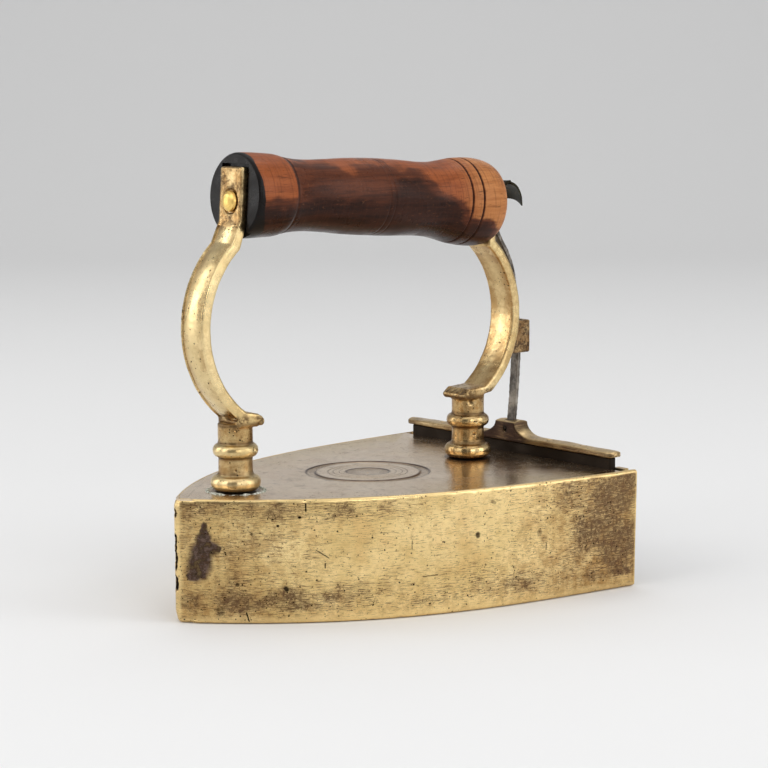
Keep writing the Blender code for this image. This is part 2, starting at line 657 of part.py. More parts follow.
def thumb_leaf(carrier):
    """Leaf that curls back and down from the top of the lift rod."""
    foot = LIFT_ROD_TOP_Y + LIFT_ROD_THICKNESS / 2 + LEAF_THICKNESS / 2 + GAP
    # how far back, height and half width along the middle of the leaf
    shape = [(0.0, 0.1405, 0.0024), (0.0, 0.1435, 0.0026), (0.0001, 0.1460, 0.0032)]
    shape += [(0.0007, 0.1477, 0.0042), (0.0018, 0.1487, 0.0055), (0.0032, 0.1486, 0.0067)]
    shape += [(0.0046, 0.1477, 0.0077), (0.0058, 0.1461, 0.0083), (0.0068, 0.1440, 0.0085)]
    shape += [(0.0074, 0.1416, 0.0084), (0.0077, 0.1392, 0.0079)]
    path = [(foot + back, height) for back, height, half in shape]
    widths = [half for back, height, half in shape]
    leaf = add_object("thumb_leaf", strip(path, LEAF_THICKNESS, widths), IRON, parent=carrier)
    combine(leaf, rivet_hole("leaf_rivet_hole", carrier), "DIFFERENCE")
    return leaf


def cross_pin(name, y_low, y_high, z, carrier):
    bm = rod_between(CROSS_PIN_RADIUS, (0, y_low, z), (0, y_high, z), PIN_STEPS)
    return add_object(name, bm, IRON, parent=carrier)


def guide_collar():
    """Staple on the back of the rear bracket, in which the lift rod runs."""
    low = (-COLLAR_HALF_WIDTH, COLLAR_FRONT_Y, COLLAR_BOTTOM)
    high = (COLLAR_HALF_WIDTH, COLLAR_BACK_Y, COLLAR_BOTTOM + COLLAR_HEIGHT)
    collar = add_object("guide_collar", block(low, high), DARK_BRASS)
    bevel_edges(collar, COLLAR_BEVEL)
    centre_y = REAR_POST_Y - REAR_ARC_CENTRE[0]
    centre_z = BODY_HEIGHT + REAR_ARC_CENTRE[1]
    ends = [(side * STRAP_WIDTH, centre_y, centre_z) for side in (-1, 1)]
    seat = rod_between(REAR_ARC_RADIUS + GAP, *ends, 180)
    combine(collar, add_tool("collar_seat", seat), "DIFFERENCE")
    hole_low = (-COLLAR_HOLE_HALF_WIDTH, COLLAR_FRONT_Y - PAST, COLLAR_BOTTOM - PAST)
    hole_high = (COLLAR_HOLE_HALF_WIDTH, COLLAR_HOLE_BACK, COLLAR_BOTTOM + COLLAR_HEIGHT + PAST)
    combine(collar, add_tool("collar_hole", block(hole_low, hole_high)), "DIFFERENCE")
    return collar


def build_gate():
    """Everything that rises with the gate hangs on one empty, on the slide's axis."""
    carrier = bpy.data.objects.new("gate_lift", None)
    bpy.context.collection.objects.link(carrier)
    gate_plate(carrier)
    gate_cap(carrier)
    gate_pins(carrier)
    lift_rod(carrier)
    cross_pin("rod_foot_pin", GATE_Y - CAP_DEPTH / 2, GATE_Y + CAP_DEPTH / 2, CROSS_PIN_Z, carrier)
    thumb_leaf(carrier)
    cross_pin("thumb_rivet", *THUMB_RIVET_ENDS, THUMB_RIVET_Z, carrier)


def build():
    clear_scene()
    body_walls()
    top_plate()
    sole_plate()
    gate_guide("gate_guide_left", -1)
    gate_guide("gate_guide_right", 1)
    slug_rail("slug_rail_left", -1)
    slug_rail("slug_rail_right", 1)
    heating_slug()
    front_bracket()
    rear_bracket()
    post_washer("front_post_washer", FRONT_POST_Y)
    post_washer("rear_post_washer", REAR_POST_Y)
    guide_collar()
    handle_grip()
    handle_rod()
    button("front_button", -EAR_PROUD + COUNTERBORE_DEPTH - GAP, -1, BUTTON_HEIGHT)
    button("rear_button", GRIP_LENGTH + EAR_PROUD + GAP, 1, REAR_BUTTON_HEIGHT)
    build_gate()


build()
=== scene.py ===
"""Looks of the brass box iron: finished meshes, materials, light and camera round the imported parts.

Units are metres and +Z is up. The nose points along -Y, the gate closes the rear at +Y.
"""
from math import cos, exp, pi, radians, sin, sqrt

import bmesh
import bpy
from mathutils import Matrix, Vector, noise


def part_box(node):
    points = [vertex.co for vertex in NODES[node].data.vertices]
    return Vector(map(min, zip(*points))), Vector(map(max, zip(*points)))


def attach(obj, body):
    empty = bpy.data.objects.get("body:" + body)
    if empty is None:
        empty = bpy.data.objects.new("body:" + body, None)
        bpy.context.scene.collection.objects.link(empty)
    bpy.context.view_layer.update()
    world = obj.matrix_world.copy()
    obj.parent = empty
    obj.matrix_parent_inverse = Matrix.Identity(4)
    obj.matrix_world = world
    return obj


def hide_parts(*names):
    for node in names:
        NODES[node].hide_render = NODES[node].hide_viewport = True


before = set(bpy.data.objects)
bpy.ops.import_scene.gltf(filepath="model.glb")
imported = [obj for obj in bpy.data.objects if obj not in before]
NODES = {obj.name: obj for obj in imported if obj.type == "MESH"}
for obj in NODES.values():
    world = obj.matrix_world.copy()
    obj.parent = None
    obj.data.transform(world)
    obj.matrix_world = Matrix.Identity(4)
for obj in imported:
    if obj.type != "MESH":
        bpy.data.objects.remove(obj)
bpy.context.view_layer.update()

# Body: its box is the frame's, and its other measures repeat the CAD's
WALLS_LOW, WALLS_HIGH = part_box("body_walls")
NOSE_Y, REAR_Y = WALLS_LOW[1], WALLS_HIGH[1]
WIDTH = WALLS_HIGH[0] - WALLS_LOW[0]
BODY_HEIGHT = WALLS_HIGH[2]
NOSE_RADIUS = 0.003
NOSE_HALF_ANGLE = radians(48)
REAR_FLARE = radians(4)
FLANK_PULL = 0.073
REAR_PULL = 0.063
SOLE_SCALE = 0.986
WALL = 0.0024
GAP = 0.0003
FRONT_POST_Y = -0.0558
REAR_POST_Y = 0.0544

# Body, as only the looks have it
EDGE_ROUND = 0.0012       # worn edges of the walls
RING_Y = 0.0047           # centre of the engraved rings on the top plate, from a camera fit
SHEET_INSET = 0.0008      # the top plate is brazed over the walls, out to their worn edge

# Grip, as the CAD has it
GRIP_LENGTH = 0.1169
GRIP_FRONT = Vector((0.0, -0.0549, 0.1484))
GRIP_FALL = radians(3.6)
GRIP_ARCH = 0.0010
GRIP_DIRECTION = Vector((0, cos(GRIP_FALL), -sin(GRIP_FALL)))
GRIP_UP = Vector((0, sin(GRIP_FALL), cos(GRIP_FALL)))
ROD_DROP = 0.0020

TINY = 1e-7               # shorter than any real length
HAIR = 0.0001             # a skin that paint laps over


# Node materials ---------------------------------------------------------------------------

class Nodes:
    """Short calls for building one material's node tree."""

    def __init__(self, name):
        self.material = bpy.data.materials.new(name)
        self.material.use_nodes = True
        self.tree = self.material.node_tree
        self.shader = self.tree.nodes["Principled BSDF"]
        self.place = self.new("TexCoord").outputs["Object"]

    def new(self, kind):
        return self.tree.nodes.new("ShaderNode" + kind)

    def link(self, source, target):
        self.tree.links.new(source, target)

    def feed(self, socket, value):
        if isinstance(value, bpy.types.NodeSocket):
            self.link(value, socket)
        else:
            socket.default_value = value

    def stretched(self, scale, turn=(0, 0, 0)):
        """Object coordinates, scaled by axis and turned."""
        node = self.new("Mapping")
        self.link(self.place, node.inputs["Vector"])
        node.inputs["Rotation"].default_value = turn
        node.inputs["Scale"].default_value = scale
        return node.outputs["Vector"]

    def noise(self, scale, detail=4.0, rough=0.55, vector=None, distortion=0.0):
        node = self.new("TexNoise")
        self.link(vector or self.place, node.inputs["Vector"])
        node.inputs["Scale"].default_value = scale
        node.inputs["Detail"].default_value = detail
        node.inputs["Roughness"].default_value = rough
        node.inputs["Distortion"].default_value = distortion
        return node.outputs["Fac"]

    def spots(self, scale):
        """Distance to the nearest of many scattered points."""
        node = self.new("TexVoronoi")
        self.link(self.place, node.inputs["Vector"])
        node.inputs["Scale"].default_value = scale
        return node.outputs["Distance"]

    def wobbled(self, scale, amount):
        """Object coordinates, moved about by a noise, for ragged outlines."""
        node = self.new("TexNoise")
        node.inputs["Scale"].default_value = scale
        node.inputs["Detail"].default_value = 4.0
        self.link(self.place, node.inputs["Vector"])
        offset = self.vector_math("SUBTRACT", node.outputs["Color"], (0.5, 0.5, 0.5))
        return self.vector_math("ADD", self.place, self.vector_math("SCALE", offset, scale=amount))

    def pits(self, scale, size, share, vector):
        """1 inside scattered pits. Size is the largest radius as a share of their spacing."""
        node = self.new("TexVoronoi")
        self.link(vector, node.inputs["Vector"])
        node.inputs["Scale"].default_value = scale
        split = self.new("SeparateColor")
        self.link(node.outputs["Color"], split.inputs[0])
        radius = self.ramp(split.outputs[0], 1 - share, 1.0, 0.0, size)
        inside = self.math("SUBTRACT", radius, node.outputs["Distance"])
        return self.ramp(inside, 0.0, 0.06)

    def strongest(self, masks):
        total = masks[0]
        for mask in masks[1:]:
            total = self.math("MAXIMUM", total, mask)
        return total

    def vector_math(self, operation, a, b=None, scale=None):
        node = self.new("VectorMath")
        node.operation = operation
        self.feed(node.inputs[0], a)
        if b is not None:
            self.feed(node.inputs[1], b)
        if scale is not None:
            self.feed(node.inputs["Scale"], scale)
        return node.outputs["Value" if operation in ("DOT_PRODUCT", "LENGTH") else "Vector"]

    def stroke(self, place, start, end, radius, soft=0.35):
        """1 within a radius of the line between two points."""
        span = Vector(end) - Vector(start)
        offset = self.vector_math("SUBTRACT", place, tuple(start))
        if span.length > TINY:
            along = self.vector_math("DOT_PRODUCT", offset, tuple(span / span.length_squared))
            along = self.math("MULTIPLY", along, 1.0, True)
            nearest = self.vector_math("SCALE", tuple(span), scale=along)
            offset = self.vector_math("SUBTRACT", offset, nearest)
        gap = self.vector_math("LENGTH", offset)
        return self.ramp(gap, radius * (1 - soft), radius * (1 + soft), 1.0, 0.0)

    def ramp(self, value, low, high, out_low=0.0, out_high=1.0):
        """Runs smoothly from out_low to out_high as value goes from low to high."""
        node = self.new("MapRange")
        node.interpolation_type = "SMOOTHSTEP"
        self.link(value, node.inputs["Value"])
        for key, number in (("From Min", low), ("From Max", high), ("To Min", out_low), ("To Max", out_high)):
            node.inputs[key].default_value = number
        return node.outputs["Result"]

    def math(self, operation, a, b=0.0, clamp=False):
        node = self.new("Math")
        node.operation = operation
        node.use_clamp = clamp
        self.feed(node.inputs[0], a)
        self.feed(node.inputs[1], b)
        return node.outputs[0]

    def times(self, a, b):
        return self.math("MULTIPLY", a, b)

    def mix(self, share, a, b):
        """Mixes two colours."""
        node = self.new("Mix")
        node.data_type = "RGBA"
        self.feed(node.inputs["Factor"], share)
        self.feed(node.inputs["A"], (*a, 1.0) if isinstance(a, tuple) else a)
        self.feed(node.inputs["B"], (*b, 1.0) if isinstance(b, tuple) else b)
        return node.outputs["Result"]

    def edge(self, low, high, out_low=0.0, out_high=1.0):
        """Convexity of the mesh: high on worn edges, low in hollows."""
        pointiness = self.new("NewGeometry").outputs["Pointiness"]
        return self.ramp(pointiness, low, high, out_low, out_high)

    def mask(self, name):
        """A mesh's own point attribute, painted by the code that shaped it."""
        node = self.new("Attribute")
        node.attribute_name = name
        return node.outputs["Fac"]

    def bump(self, heights):
        """Chains bumps: (height, distance in metres, strength)."""
        normal = None
        for height, distance, strength in heights:
            node = self.new("Bump")
            node.inputs["Distance"].default_value = distance
            node.inputs["Strength"].default_value = strength
            self.link(height, node.inputs["Height"])
            if normal:
                self.link(normal, node.inputs["Normal"])
            normal = node.outputs["Normal"]
        self.link(normal, self.shader.inputs["Normal"])


def brass(name, bright, dull, patina, tarnish=0.3, rough=(0.20, 0.36), brushed=0.0, pits=0.5, marks=None):
    """Aged brass: clear metal, a duller film, brown tarnish, brushing lines, pits and marks.

    A mesh may paint it: a film mask and grime lay tarnish on, and the film mask also lays painted shade; the
    shade mask blackens hollows and lays painted shade; a wear mask lightens it, as wear and as painted
    highlight.
    """
    n = Nodes(name)
    film, grime, shade = n.mask("film"), n.mask("grime"), n.mask("shade")
    colour = n.mix(n.ramp(n.noise(45.0, 6.0, 0.62), 0.36, 0.66), bright, dull)
    rosy = tuple(c * k for c, k in zip(dull, (0.98, 0.80, 0.76)))
    colour = n.mix(n.ramp(n.noise(85.0, 4.0, 0.6), 0.50, 0.70, 0.0, 0.25), colour, rosy)
    deep = tuple(c * k for c, k in zip(dull, (0.60, 0.48, 0.40)))
    uneven = n.ramp(n.noise(230.0, 9.0, 0.8), 0.38, 0.62, -0.36, 0.28)
    patchy = n.math("ADD", n.times(film, 0.9), uneven)
    colour = n.mix(n.math("MULTIPLY", patchy, 1.0, True), colour, deep)
    level = n.math("ADD", n.noise(170.0, 9.0, 0.76, distortion=0.3), n.times(grime, 0.34))
    stain = n.ramp(level, 0.70 - 0.14 * tarnish, 0.86 - 0.10 * tarnish, 0.0, 0.9)
    stain = n.times(stain, n.ramp(n.noise(700.0, 5.0, 0.75), 0.42, 0.56, 0.22, 1.0))
    coarse = n.noise(150.0, 5.0, 0.68, n.stretched((1.0, 1.0, 15.0)))
    thin = n.noise(300.0, 5.0, 0.74, n.stretched((1.0, 1.0, 13.0)))
    heavier = n.times(grime, 0.12)
    dashes = n.strongest([n.ramp(n.math("ADD", coarse, heavier), 0.54, 0.72, 0.0, 0.55 * brushed),
                          n.ramp(n.math("ADD", thin, heavier), 0.565, 0.620, 0.0, 1.05 * brushed)])
    specks = n.ramp(n.noise(1000.0, 4.0, 0.72), 0.60, 0.65, 0.0, brushed)
    specks = n.times(specks, n.ramp(grime, 0.0, 0.6, 0.18, 1.0))
    ragged = n.wobbled(900.0, 0.0007)
    small = n.times(n.pits(850.0, 0.27, 0.75, ragged), n.ramp(grime, 0.0, 0.6, 0.55, 1.0))
    holes = n.strongest([n.pits(250.0, 0.13, 0.35, ragged), n.pits(520.0, 0.21, 0.60, ragged), small])
    holes = n.times(holes, pits)
    if marks:
        colour, marked = marks(n, colour)
        holes = n.math("MAXIMUM", holes, marked)
    brown = n.strongest([stain, dashes, specks, n.edge(0.494, 0.458, 0.0, 0.9)])
    clean = n.math("MAXIMUM", n.mask("clean"), n.edge(0.512, 0.545, 0.0, 0.8))
    brown = n.times(brown, n.math("SUBTRACT", 1.0, n.times(clean, 0.85)))
    brown = n.math("MAXIMUM", brown, n.times(shade, n.ramp(coarse, 0.35, 0.6, 0.75, 1.0)))
    colour = n.mix(n.times(clean, 0.6), colour, bright)
    colour = n.mix(brown, colour, patina)
    colour = n.mix(holes, colour, (0.020, 0.013, 0.009))
    n.link(colour, n.shader.inputs["Base Color"])
    n.shader.inputs["Metallic"].default_value = 1.0
    smear = n.ramp(n.noise(55.0, 5.0, 0.6), 0.3, 0.7, rough[0], rough[1])
    roughness = n.math("ADD", smear, n.times(brown, 0.16))
    n.link(n.math("ADD", roughness, n.times(holes, 0.4), True), n.shader.inputs["Roughness"])
    n.bump([(coarse, 0.00010, 0.10 + 0.35 * brushed), (level, 0.00020, 0.25), (holes, 0.00030, -0.7)])
    return n.material


def iron(name, base, light, rust, rough=(0.38, 0.62)):
    """Forged iron: dark scale, worn lighter on the edges, with a little rust brown."""
    n = Nodes(name)
    scale = n.noise(160.0, 6.0, 0.65)
    colour = n.mix(n.ramp(scale, 0.35, 0.7), base, light)
    colour = n.mix(n.ramp(n.noise(420.0, 4.0, 0.7), 0.52, 0.72), colour, rust)
    colour = n.mix(n.edge(0.515, 0.56, 0.0, 0.7), colour, light)
    n.link(colour, n.shader.inputs["Base Color"])
    n.shader.inputs["Metallic"].default_value = 0.85
    n.link(n.ramp(scale, 0.3, 0.7, rough[0], rough[1]), n.shader.inputs["Roughness"])
    n.bump([(scale, 0.0003, 0.35), (n.ramp(n.spots(700.0), 0.0, 0.25), 0.0001, 0.3)])
    return n.material


def salt_crust():
    """Dried white and green residue."""
    n = Nodes("salt crust")
    colour = n.mix(n.ramp(n.noise(700.0, 5.0, 0.7), 0.40, 0.60), (0.20, 0.200, 0.150), (0.62, 0.63, 0.56))
    n.link(n.mix(n.ramp(n.noise(330.0, 3.0), 0.55, 0.65, 0.0, 0.7), colour, (0.10, 0.15, 0.09)),
           n.shader.inputs["Base Color"])
    n.shader.inputs["Roughness"].default_value = 0.85
    return n.material


# Marks on the right-hand wall: (distance behind the nose, height) at both ends, radius, strength.
# Their places were picked in the photo and worked out by another program, and stand here almost
# as it printed them.
WALL_MARKS = (
    ((0.0922, 0.0276), (0.0922, 0.0272), 0.0009, 0.85),
    ((0.1184, 0.0258), (0.1184, 0.0252), 0.0010, 0.45),
    ((0.0278, 0.0125), (0.0280, 0.0122), 0.0008, 0.9),
    ((0.0103, 0.0045), (0.0103, 0.0045), 0.0016, 0.4),
    ((0.0256, 0.0348), (0.0256, 0.0348), 0.0005, 1.0),
    ((0.0185, 0.0320), (0.0185, 0.0320), 0.0005, 0.7),
    ((0.0148, 0.0140), (0.0148, 0.0140), 0.0007, 0.7),
    ((0.0335, 0.0425), (0.0335, 0.0400), 0.00030, 1.0),
    ((0.0316, 0.0377), (0.0318, 0.0377), 0.00045, 1.0),
    ((0.0365, 0.0260), (0.0403, 0.0230), 0.00020, 0.85),
    ((0.0392, 0.0210), (0.0392, 0.0196), 0.00026, 0.9),
    ((0.0170, 0.0040), (0.0177, 0.0010), 0.00026, 1.0),
    ((0.0675, 0.0275), (0.0675, 0.0245), 0.00020, 0.8),
    ((0.0715, 0.0143), (0.0767, 0.0145), 0.00022, 0.7),
    ((0.1215, 0.0213), (0.1215, 0.0190), 0.00020, 0.8),
    ((0.1219, 0.0305), (0.1219, 0.0305), 0.00040, 0.9),
    ((0.0980, 0.0390), (0.0990, 0.0385), 0.00060, 0.5),
    ((0.0993, 0.0227), (0.1120, 0.0178), 0.00011, 0.35),
    ((0.1120, 0.0178), (0.1351, 0.0095), 0.00011, 0.35),
)
# The leaf-shaped stain by the nose, as the marks are given: from the same source, reshaped
NOSE_STAIN = (
    ((0.0049, 0.0195), (0.0057, 0.0250), 0.0042, 1.0),
    ((0.0058, 0.0262), (0.0062, 0.0296), 0.0030, 1.0),
    ((0.0062, 0.0300), (0.0064, 0.0325), 0.0018, 1.0),
    ((0.0064, 0.0320), (0.0065, 0.0346), 0.0010, 1.0),
    ((0.0066, 0.0276), (0.0080, 0.0268), 0.0028, 1.0),
    ((0.0078, 0.0274), (0.0100, 0.0264), 0.0012, 1.0),
    ((0.0030, 0.0168), (0.0058, 0.0174), 0.0017, 1.0),
)
# Dents in the edge of the nose: (height, size). The heights were read off the photo
NOSE_DENTS = ((0.0388, 0.8), (0.0293, 1.0), (0.0262, 0.8), (0.0232, 1.1), (0.0201, 0.8), (0.0140, 1.2))


def flank_point(t, scale):
    """Point and outward normal on the right flank of the plan, t from 0 at the nose to 1."""
    centre = Vector((0, NOSE_Y + NOSE_RADIUS))
    start = centre + Vector((cos(NOSE_HALF_ANGLE), -sin(NOSE_HALF_ANGLE))) * NOSE_RADIUS
    end = Vector((WIDTH / 2, REAR_Y))
    out = Vector((sin(NOSE_HALF_ANGLE), cos(NOSE_HALF_ANGLE)))
    back = Vector((sin(REAR_FLARE), cos(REAR_FLARE)))
    curve = (start, start + out * FLANK_PULL, end - back * REAR_PULL, end)
    weights = ((1 - t) ** 3, 3 * t * (1 - t) ** 2, 3 * t * t * (1 - t), t ** 3)
    slopes = (-(1 - t) ** 2, (1 - t) ** 2 - 2 * t * (1 - t), 2 * t * (1 - t) - t * t, t * t)
    place = sum((w * p for w, p in zip(weights, curve)), Vector((0, 0)))
    along = sum((s * p for s, p in zip(slopes, curve)), Vector((0, 0))).normalized()
    return Vector((place.x * scale, place.y)), Vector((along.y, -along.x))


def wall_point(behind_nose, height):
    """The point of the right-hand wall at a distance behind the nose and a height."""
    scale = SOLE_SCALE + (1 - SOLE_SCALE) * height / BODY_HEIGHT
    low, high = 0.0, 1.0
    for _ in range(24):
        middle = (low + high) / 2
        if flank_point(middle, scale)[0].y < NOSE_Y + behind_nose:
            low = middle
        else:
            high = middle
    place = flank_point(low, scale)[0]
    return Vector((place.x, place.y, height))


def strokes(n, place, marks):
    """1 inside any of the marks on the right-hand wall."""
    masks = []
    for start, end, radius, strength in marks:
        inside = n.stroke(place, wall_point(*start), wall_point(*end), radius)
        masks.append(n.times(inside, strength))
    return n.strongest(masks)


def wall_marks(n, colour):
    """The stain by the nose, and dots, nicks and scratches."""
    stain = strokes(n, n.wobbled(330.0, 0.0026), NOSE_STAIN)
    mottle = n.noise(420.0, 6.0, 0.7)
    tone = n.mix(n.ramp(mottle, 0.44, 0.60), (0.022, 0.014, 0.014), (0.130, 0.088, 0.075))
    colour = n.mix(n.times(stain, n.ramp(mottle, 0.35, 0.5, 0.80, 0.97)), colour, tone)
    masks = [strokes(n, n.wobbled(900.0, 0.0005), WALL_MARKS)]
    for height, size in NOSE_DENTS:
        ends = [(-0.0008, NOSE_Y + 0.0011, height + step * size) for step in (-0.0010, 0.0010)]
        masks.append(n.stroke(n.wobbled(700.0, 0.0012), *ends, 0.0014 * size))
    return colour, n.strongest(masks)


def plate_marks(n, colour):
    """A row of small punch marks along the edges, and a more golden tone towards the rear."""
    spacing, inset, radius = 0.0017, 0.0040, 0.00022
    run = n.math("DIVIDE", n.mask("run"), spacing)
    along = n.math("ABSOLUTE", n.math("SUBTRACT", n.math("FRACT", run), 0.5))
    across = n.math("ABSOLUTE", n.math("SUBTRACT", n.mask("gap"), inset))
    row = n.ramp(across, radius, 1.8 * radius, 1.0, 0.0)
    dots = n.times(n.ramp(along, 0.10, 0.20, 1.0, 0.0), row)
    dots = n.times(dots, n.ramp(n.noise(160.0, 3.0), 0.42, 0.56, 0.15, 0.75))
    return n.mix(n.times(n.mask("gold"), 0.8), colour, (0.68, 0.500, 0.240)), dots


BODY_BRASS = brass("body brass", (0.95, 0.725, 0.350), (0.76, 0.555, 0.235), (0.100, 0.052, 0.032),
                   0.42, (0.26, 0.38), 0.80, 0.9, wall_marks)
SHELL_BRASS = brass("inner brass", (0.60, 0.43, 0.20), (0.46, 0.32, 0.14), (0.12, 0.07, 0.04), 0.8)
PLATE_BRASS = brass("plate brass", (0.80, 0.630, 0.440), (0.72, 0.560, 0.385), (0.110, 0.080, 0.070),
                    0.0, (0.17, 0.27), 0.30, 0.30, plate_marks)
HANDLE_BRASS = brass("handle brass", (0.84, 0.660, 0.350), (0.66, 0.490, 0.225), (0.105, 0.060, 0.028),
                     0.32, (0.21, 0.35), 0.12, 1.0)
CAP_BRASS = brass("cap brass", (0.82, 0.62, 0.32), (0.52, 0.365, 0.175), (0.050, 0.030, 0.022),
                  0.70, (0.24, 0.40), 0.10, 0.5)
BUTTON_BRASS = brass("button brass", (0.95, 0.66, 0.21), (0.86, 0.56, 0.16), (0.25, 0.12, 0.03),
                     0.0, (0.30, 0.40), 0.0, 0.0)
# Near black: dark iron, and painted shade for the shadow under the cap's bar
GATE_IRON_AND_SHADE = iron("gate iron and shade", (0.008, 0.006, 0.005), (0.028, 0.020, 0.014), (0.026, 0.014, 0.008),
                 (0.50, 0.75))
ROD_IRON = iron("rod iron", (0.055, 0.047, 0.040), (0.40, 0.365, 0.320), (0.070, 0.042, 0.025))
# Near black: dark iron, and painted shade for the shadowed inner side of the curl
LEAF_IRON_AND_SHADE = iron("leaf iron and shade", (0.010, 0.009, 0.005), (0.026, 0.022, 0.012), (0.085, 0.050, 0.015),
                 (0.22, 0.42))
SALT = salt_crust()
SLUG_IRON = iron("slug iron", (0.05, 0.042, 0.036), (0.10, 0.085, 0.075), (0.11, 0.045, 0.022), (0.6, 0.85))


def wood():
    """Oiled turned wood: orange where it is worn, darker brown and burnt where the mesh is painted."""
    n = Nodes("grip wood")
    turn = (-GRIP_FALL, 0, 0)
    grain = n.noise(480.0, 7.0, 0.70, n.stretched((1.0, 0.06, 1.0), turn), 0.2)
    figure = n.noise(120.0, 7.0, 0.68, n.stretched((1.0, 0.60, 1.0), turn), 0.3)
    rings = n.noise(1400.0, 3.0, 0.6, n.stretched((0.05, 1.0, 0.05), turn))
    fine = n.ramp(grain, 0.36, 0.66)
    colour = n.mix(fine, (0.33, 0.092, 0.029), (0.225, 0.058, 0.018))
    colour = n.mix(n.mask("amber"), colour, n.mix(fine, (0.50, 0.205, 0.070), (0.38, 0.140, 0.044)))
    level = n.math("ADD", n.mask("dark"), n.times(n.math("SUBTRACT", figure, 0.5), 0.6))
    level = n.math("ADD", level, n.times(n.math("SUBTRACT", grain, 0.5), 0.5))
    browned = n.mix(fine, (0.120, 0.034, 0.014), (0.062, 0.018, 0.009))
    colour = n.mix(n.ramp(level, 0.10, 0.48), colour, browned)
    scorched = n.mix(fine, (0.040, 0.012, 0.006), (0.015, 0.005, 0.003))
    colour = n.mix(n.ramp(level, 0.50, 0.95), colour, scorched)
    colour = n.mix(n.ramp(rings, 0.50, 0.62, 0.0, 0.30), colour, (0.060, 0.018, 0.008))
    flecks = n.ramp(n.noise(1500.0, 4.0, 0.7, n.stretched((1.0, 0.35, 1.0), turn)), 0.60, 0.72, 0.0, 0.35)
    colour = n.mix(flecks, colour, (0.30, 0.120, 0.050))
    burnt = n.math("ADD", n.mask("char"), n.times(n.math("SUBTRACT", grain, 0.5), 0.6))
    colour = n.mix(n.ramp(burnt, 0.38, 0.66), colour, (0.006, 0.0045, 0.004))
    pores = n.ramp(n.noise(1700.0, 3.0, 0.6, n.stretched((1.0, 0.05, 1.0), turn)), 0.58, 0.70, 0.0, 0.6)
    colour = n.mix(pores, colour, (0.020, 0.007, 0.003))
    n.link(colour, n.shader.inputs["Base Color"])
    n.link(n.ramp(n.noise(90.0, 5.0), 0.3, 0.7, 0.22, 0.42), n.shader.inputs["Roughness"])
    n.shader.inputs["IOR"].default_value = 1.22
    n.bump([(grain, 0.00016, 0.40), (pores, 0.00010, -0.5), (rings, 0.00008, 0.35)])
    return n.material


GRIP_WOOD = wood()


# Mesh helpers -----------------------------------------------------------------------------

def placed(name, data):
    """A new object in the scene."""
    made = bpy.data.objects.new(name, data)
    bpy.context.collection.objects.link(made)
    return made


def bridge(bm, rings):
    """Joins each ring of points to the next with four-sided faces."""
    for one, two in zip(rings, rings[1:]):
        for i in range(len(one)):
            j = (i + 1) % len(one)
            bm.faces.new((one[i], one[j], two[j], two[i]))


def keep_smooth(mesh, angle=35):
    mesh.shade_smooth()
    mesh.set_sharp_from_angle(angle=radians(angle))


def add_piece(name, bm, material, body, slot, *nodes):
    """Closes a bmesh into a finished piece that rides on a body and stands for CAD nodes."""
    mesh = bpy.data.meshes.new(name)
    bmesh.ops.recalc_face_normals(bm, faces=bm.faces)
    bm.to_mesh(mesh)
    bm.free()
    mesh.materials.append(material)
    keep_smooth(mesh)
    return finish_piece(placed(name, mesh), body, slot, *nodes)


def finish_piece(piece, body, slot, *nodes):
    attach(piece, body)
    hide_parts(*nodes)
    return piece


def applied(piece):
    """Puts a piece's modifiers into its mesh."""
    shaped = bpy.data.meshes.new_from_object(piece.evaluated_get(bpy.context.evaluated_depsgraph_get()))
    piece.modifiers.clear()
    piece.data = shaped
    return piece


def remade(name, node, material, voxel, smoothing, shape, paint=None):
    """A finer copy of a CAD node with softened edges, worked over by shape(point, normal).

    paint(point, normal) gives the material's masks by name.
    """
    mesh = NODES[node].data.copy()
    mesh.name = name
    mesh.materials.clear()
    mesh.materials.append(material)
    piece = placed(name, mesh)
    remesh = piece.modifiers.new("Remesh", "REMESH")
    remesh.mode = "VOXEL"
    remesh.voxel_size = voxel
    remesh.adaptivity = 0.0
    smooth = piece.modifiers.new("Smooth", "SMOOTH")
    smooth.factor = 0.5
    smooth.iterations = smoothing
    applied(piece)
    normals = [vert.normal.copy() for vert in piece.data.vertices]
    for vert, normal in zip(piece.data.vertices, normals):
        vert.co = shape(vert.co.copy(), normal)
    if paint:
        painted(piece.data, [paint(vert.co, normal) for vert, normal in zip(piece.data.vertices, normals)])
    piece.data.update()
    keep_smooth(piece.data, 50)
    return piece


def painted(mesh, masks):
    """Writes masks, one dictionary for each point, as point attributes."""
    for key in masks[0]:
        layer = mesh.attributes.new(key, "FLOAT", "POINT")
        layer.data.foreach_set("value", [mask[key] for mask in masks])


def lumps(point, normal, size, height, seed=0.0):
    """Low uneven hammering of a cast or forged surface."""
    where = point / size + Vector((seed, seed * 1.7, seed * 0.3))
    return point + normal * (noise.noise(where) * height)


def pitted(point, normal, pits):
    """Sinks round pits: (centre, radius, depth)."""
    for centre, radius, depth in pits:
        gap = (point - Vector(centre)).length
        if gap < radius:
            share = 1 - (gap / radius) ** 2
            point = point - normal * (depth * share * share)
    return point


# Floor, light and camera ------------------------------------------------------------------

def matte(name, colour, roughness=0.9):
    n = Nodes(name)
    n.shader.inputs["Base Color"].default_value = (*colour, 1.0)
    n.shader.inputs["Roughness"].default_value = roughness
    n.shader.inputs["Specular IOR Level"].default_value = 0.2
    return n.material


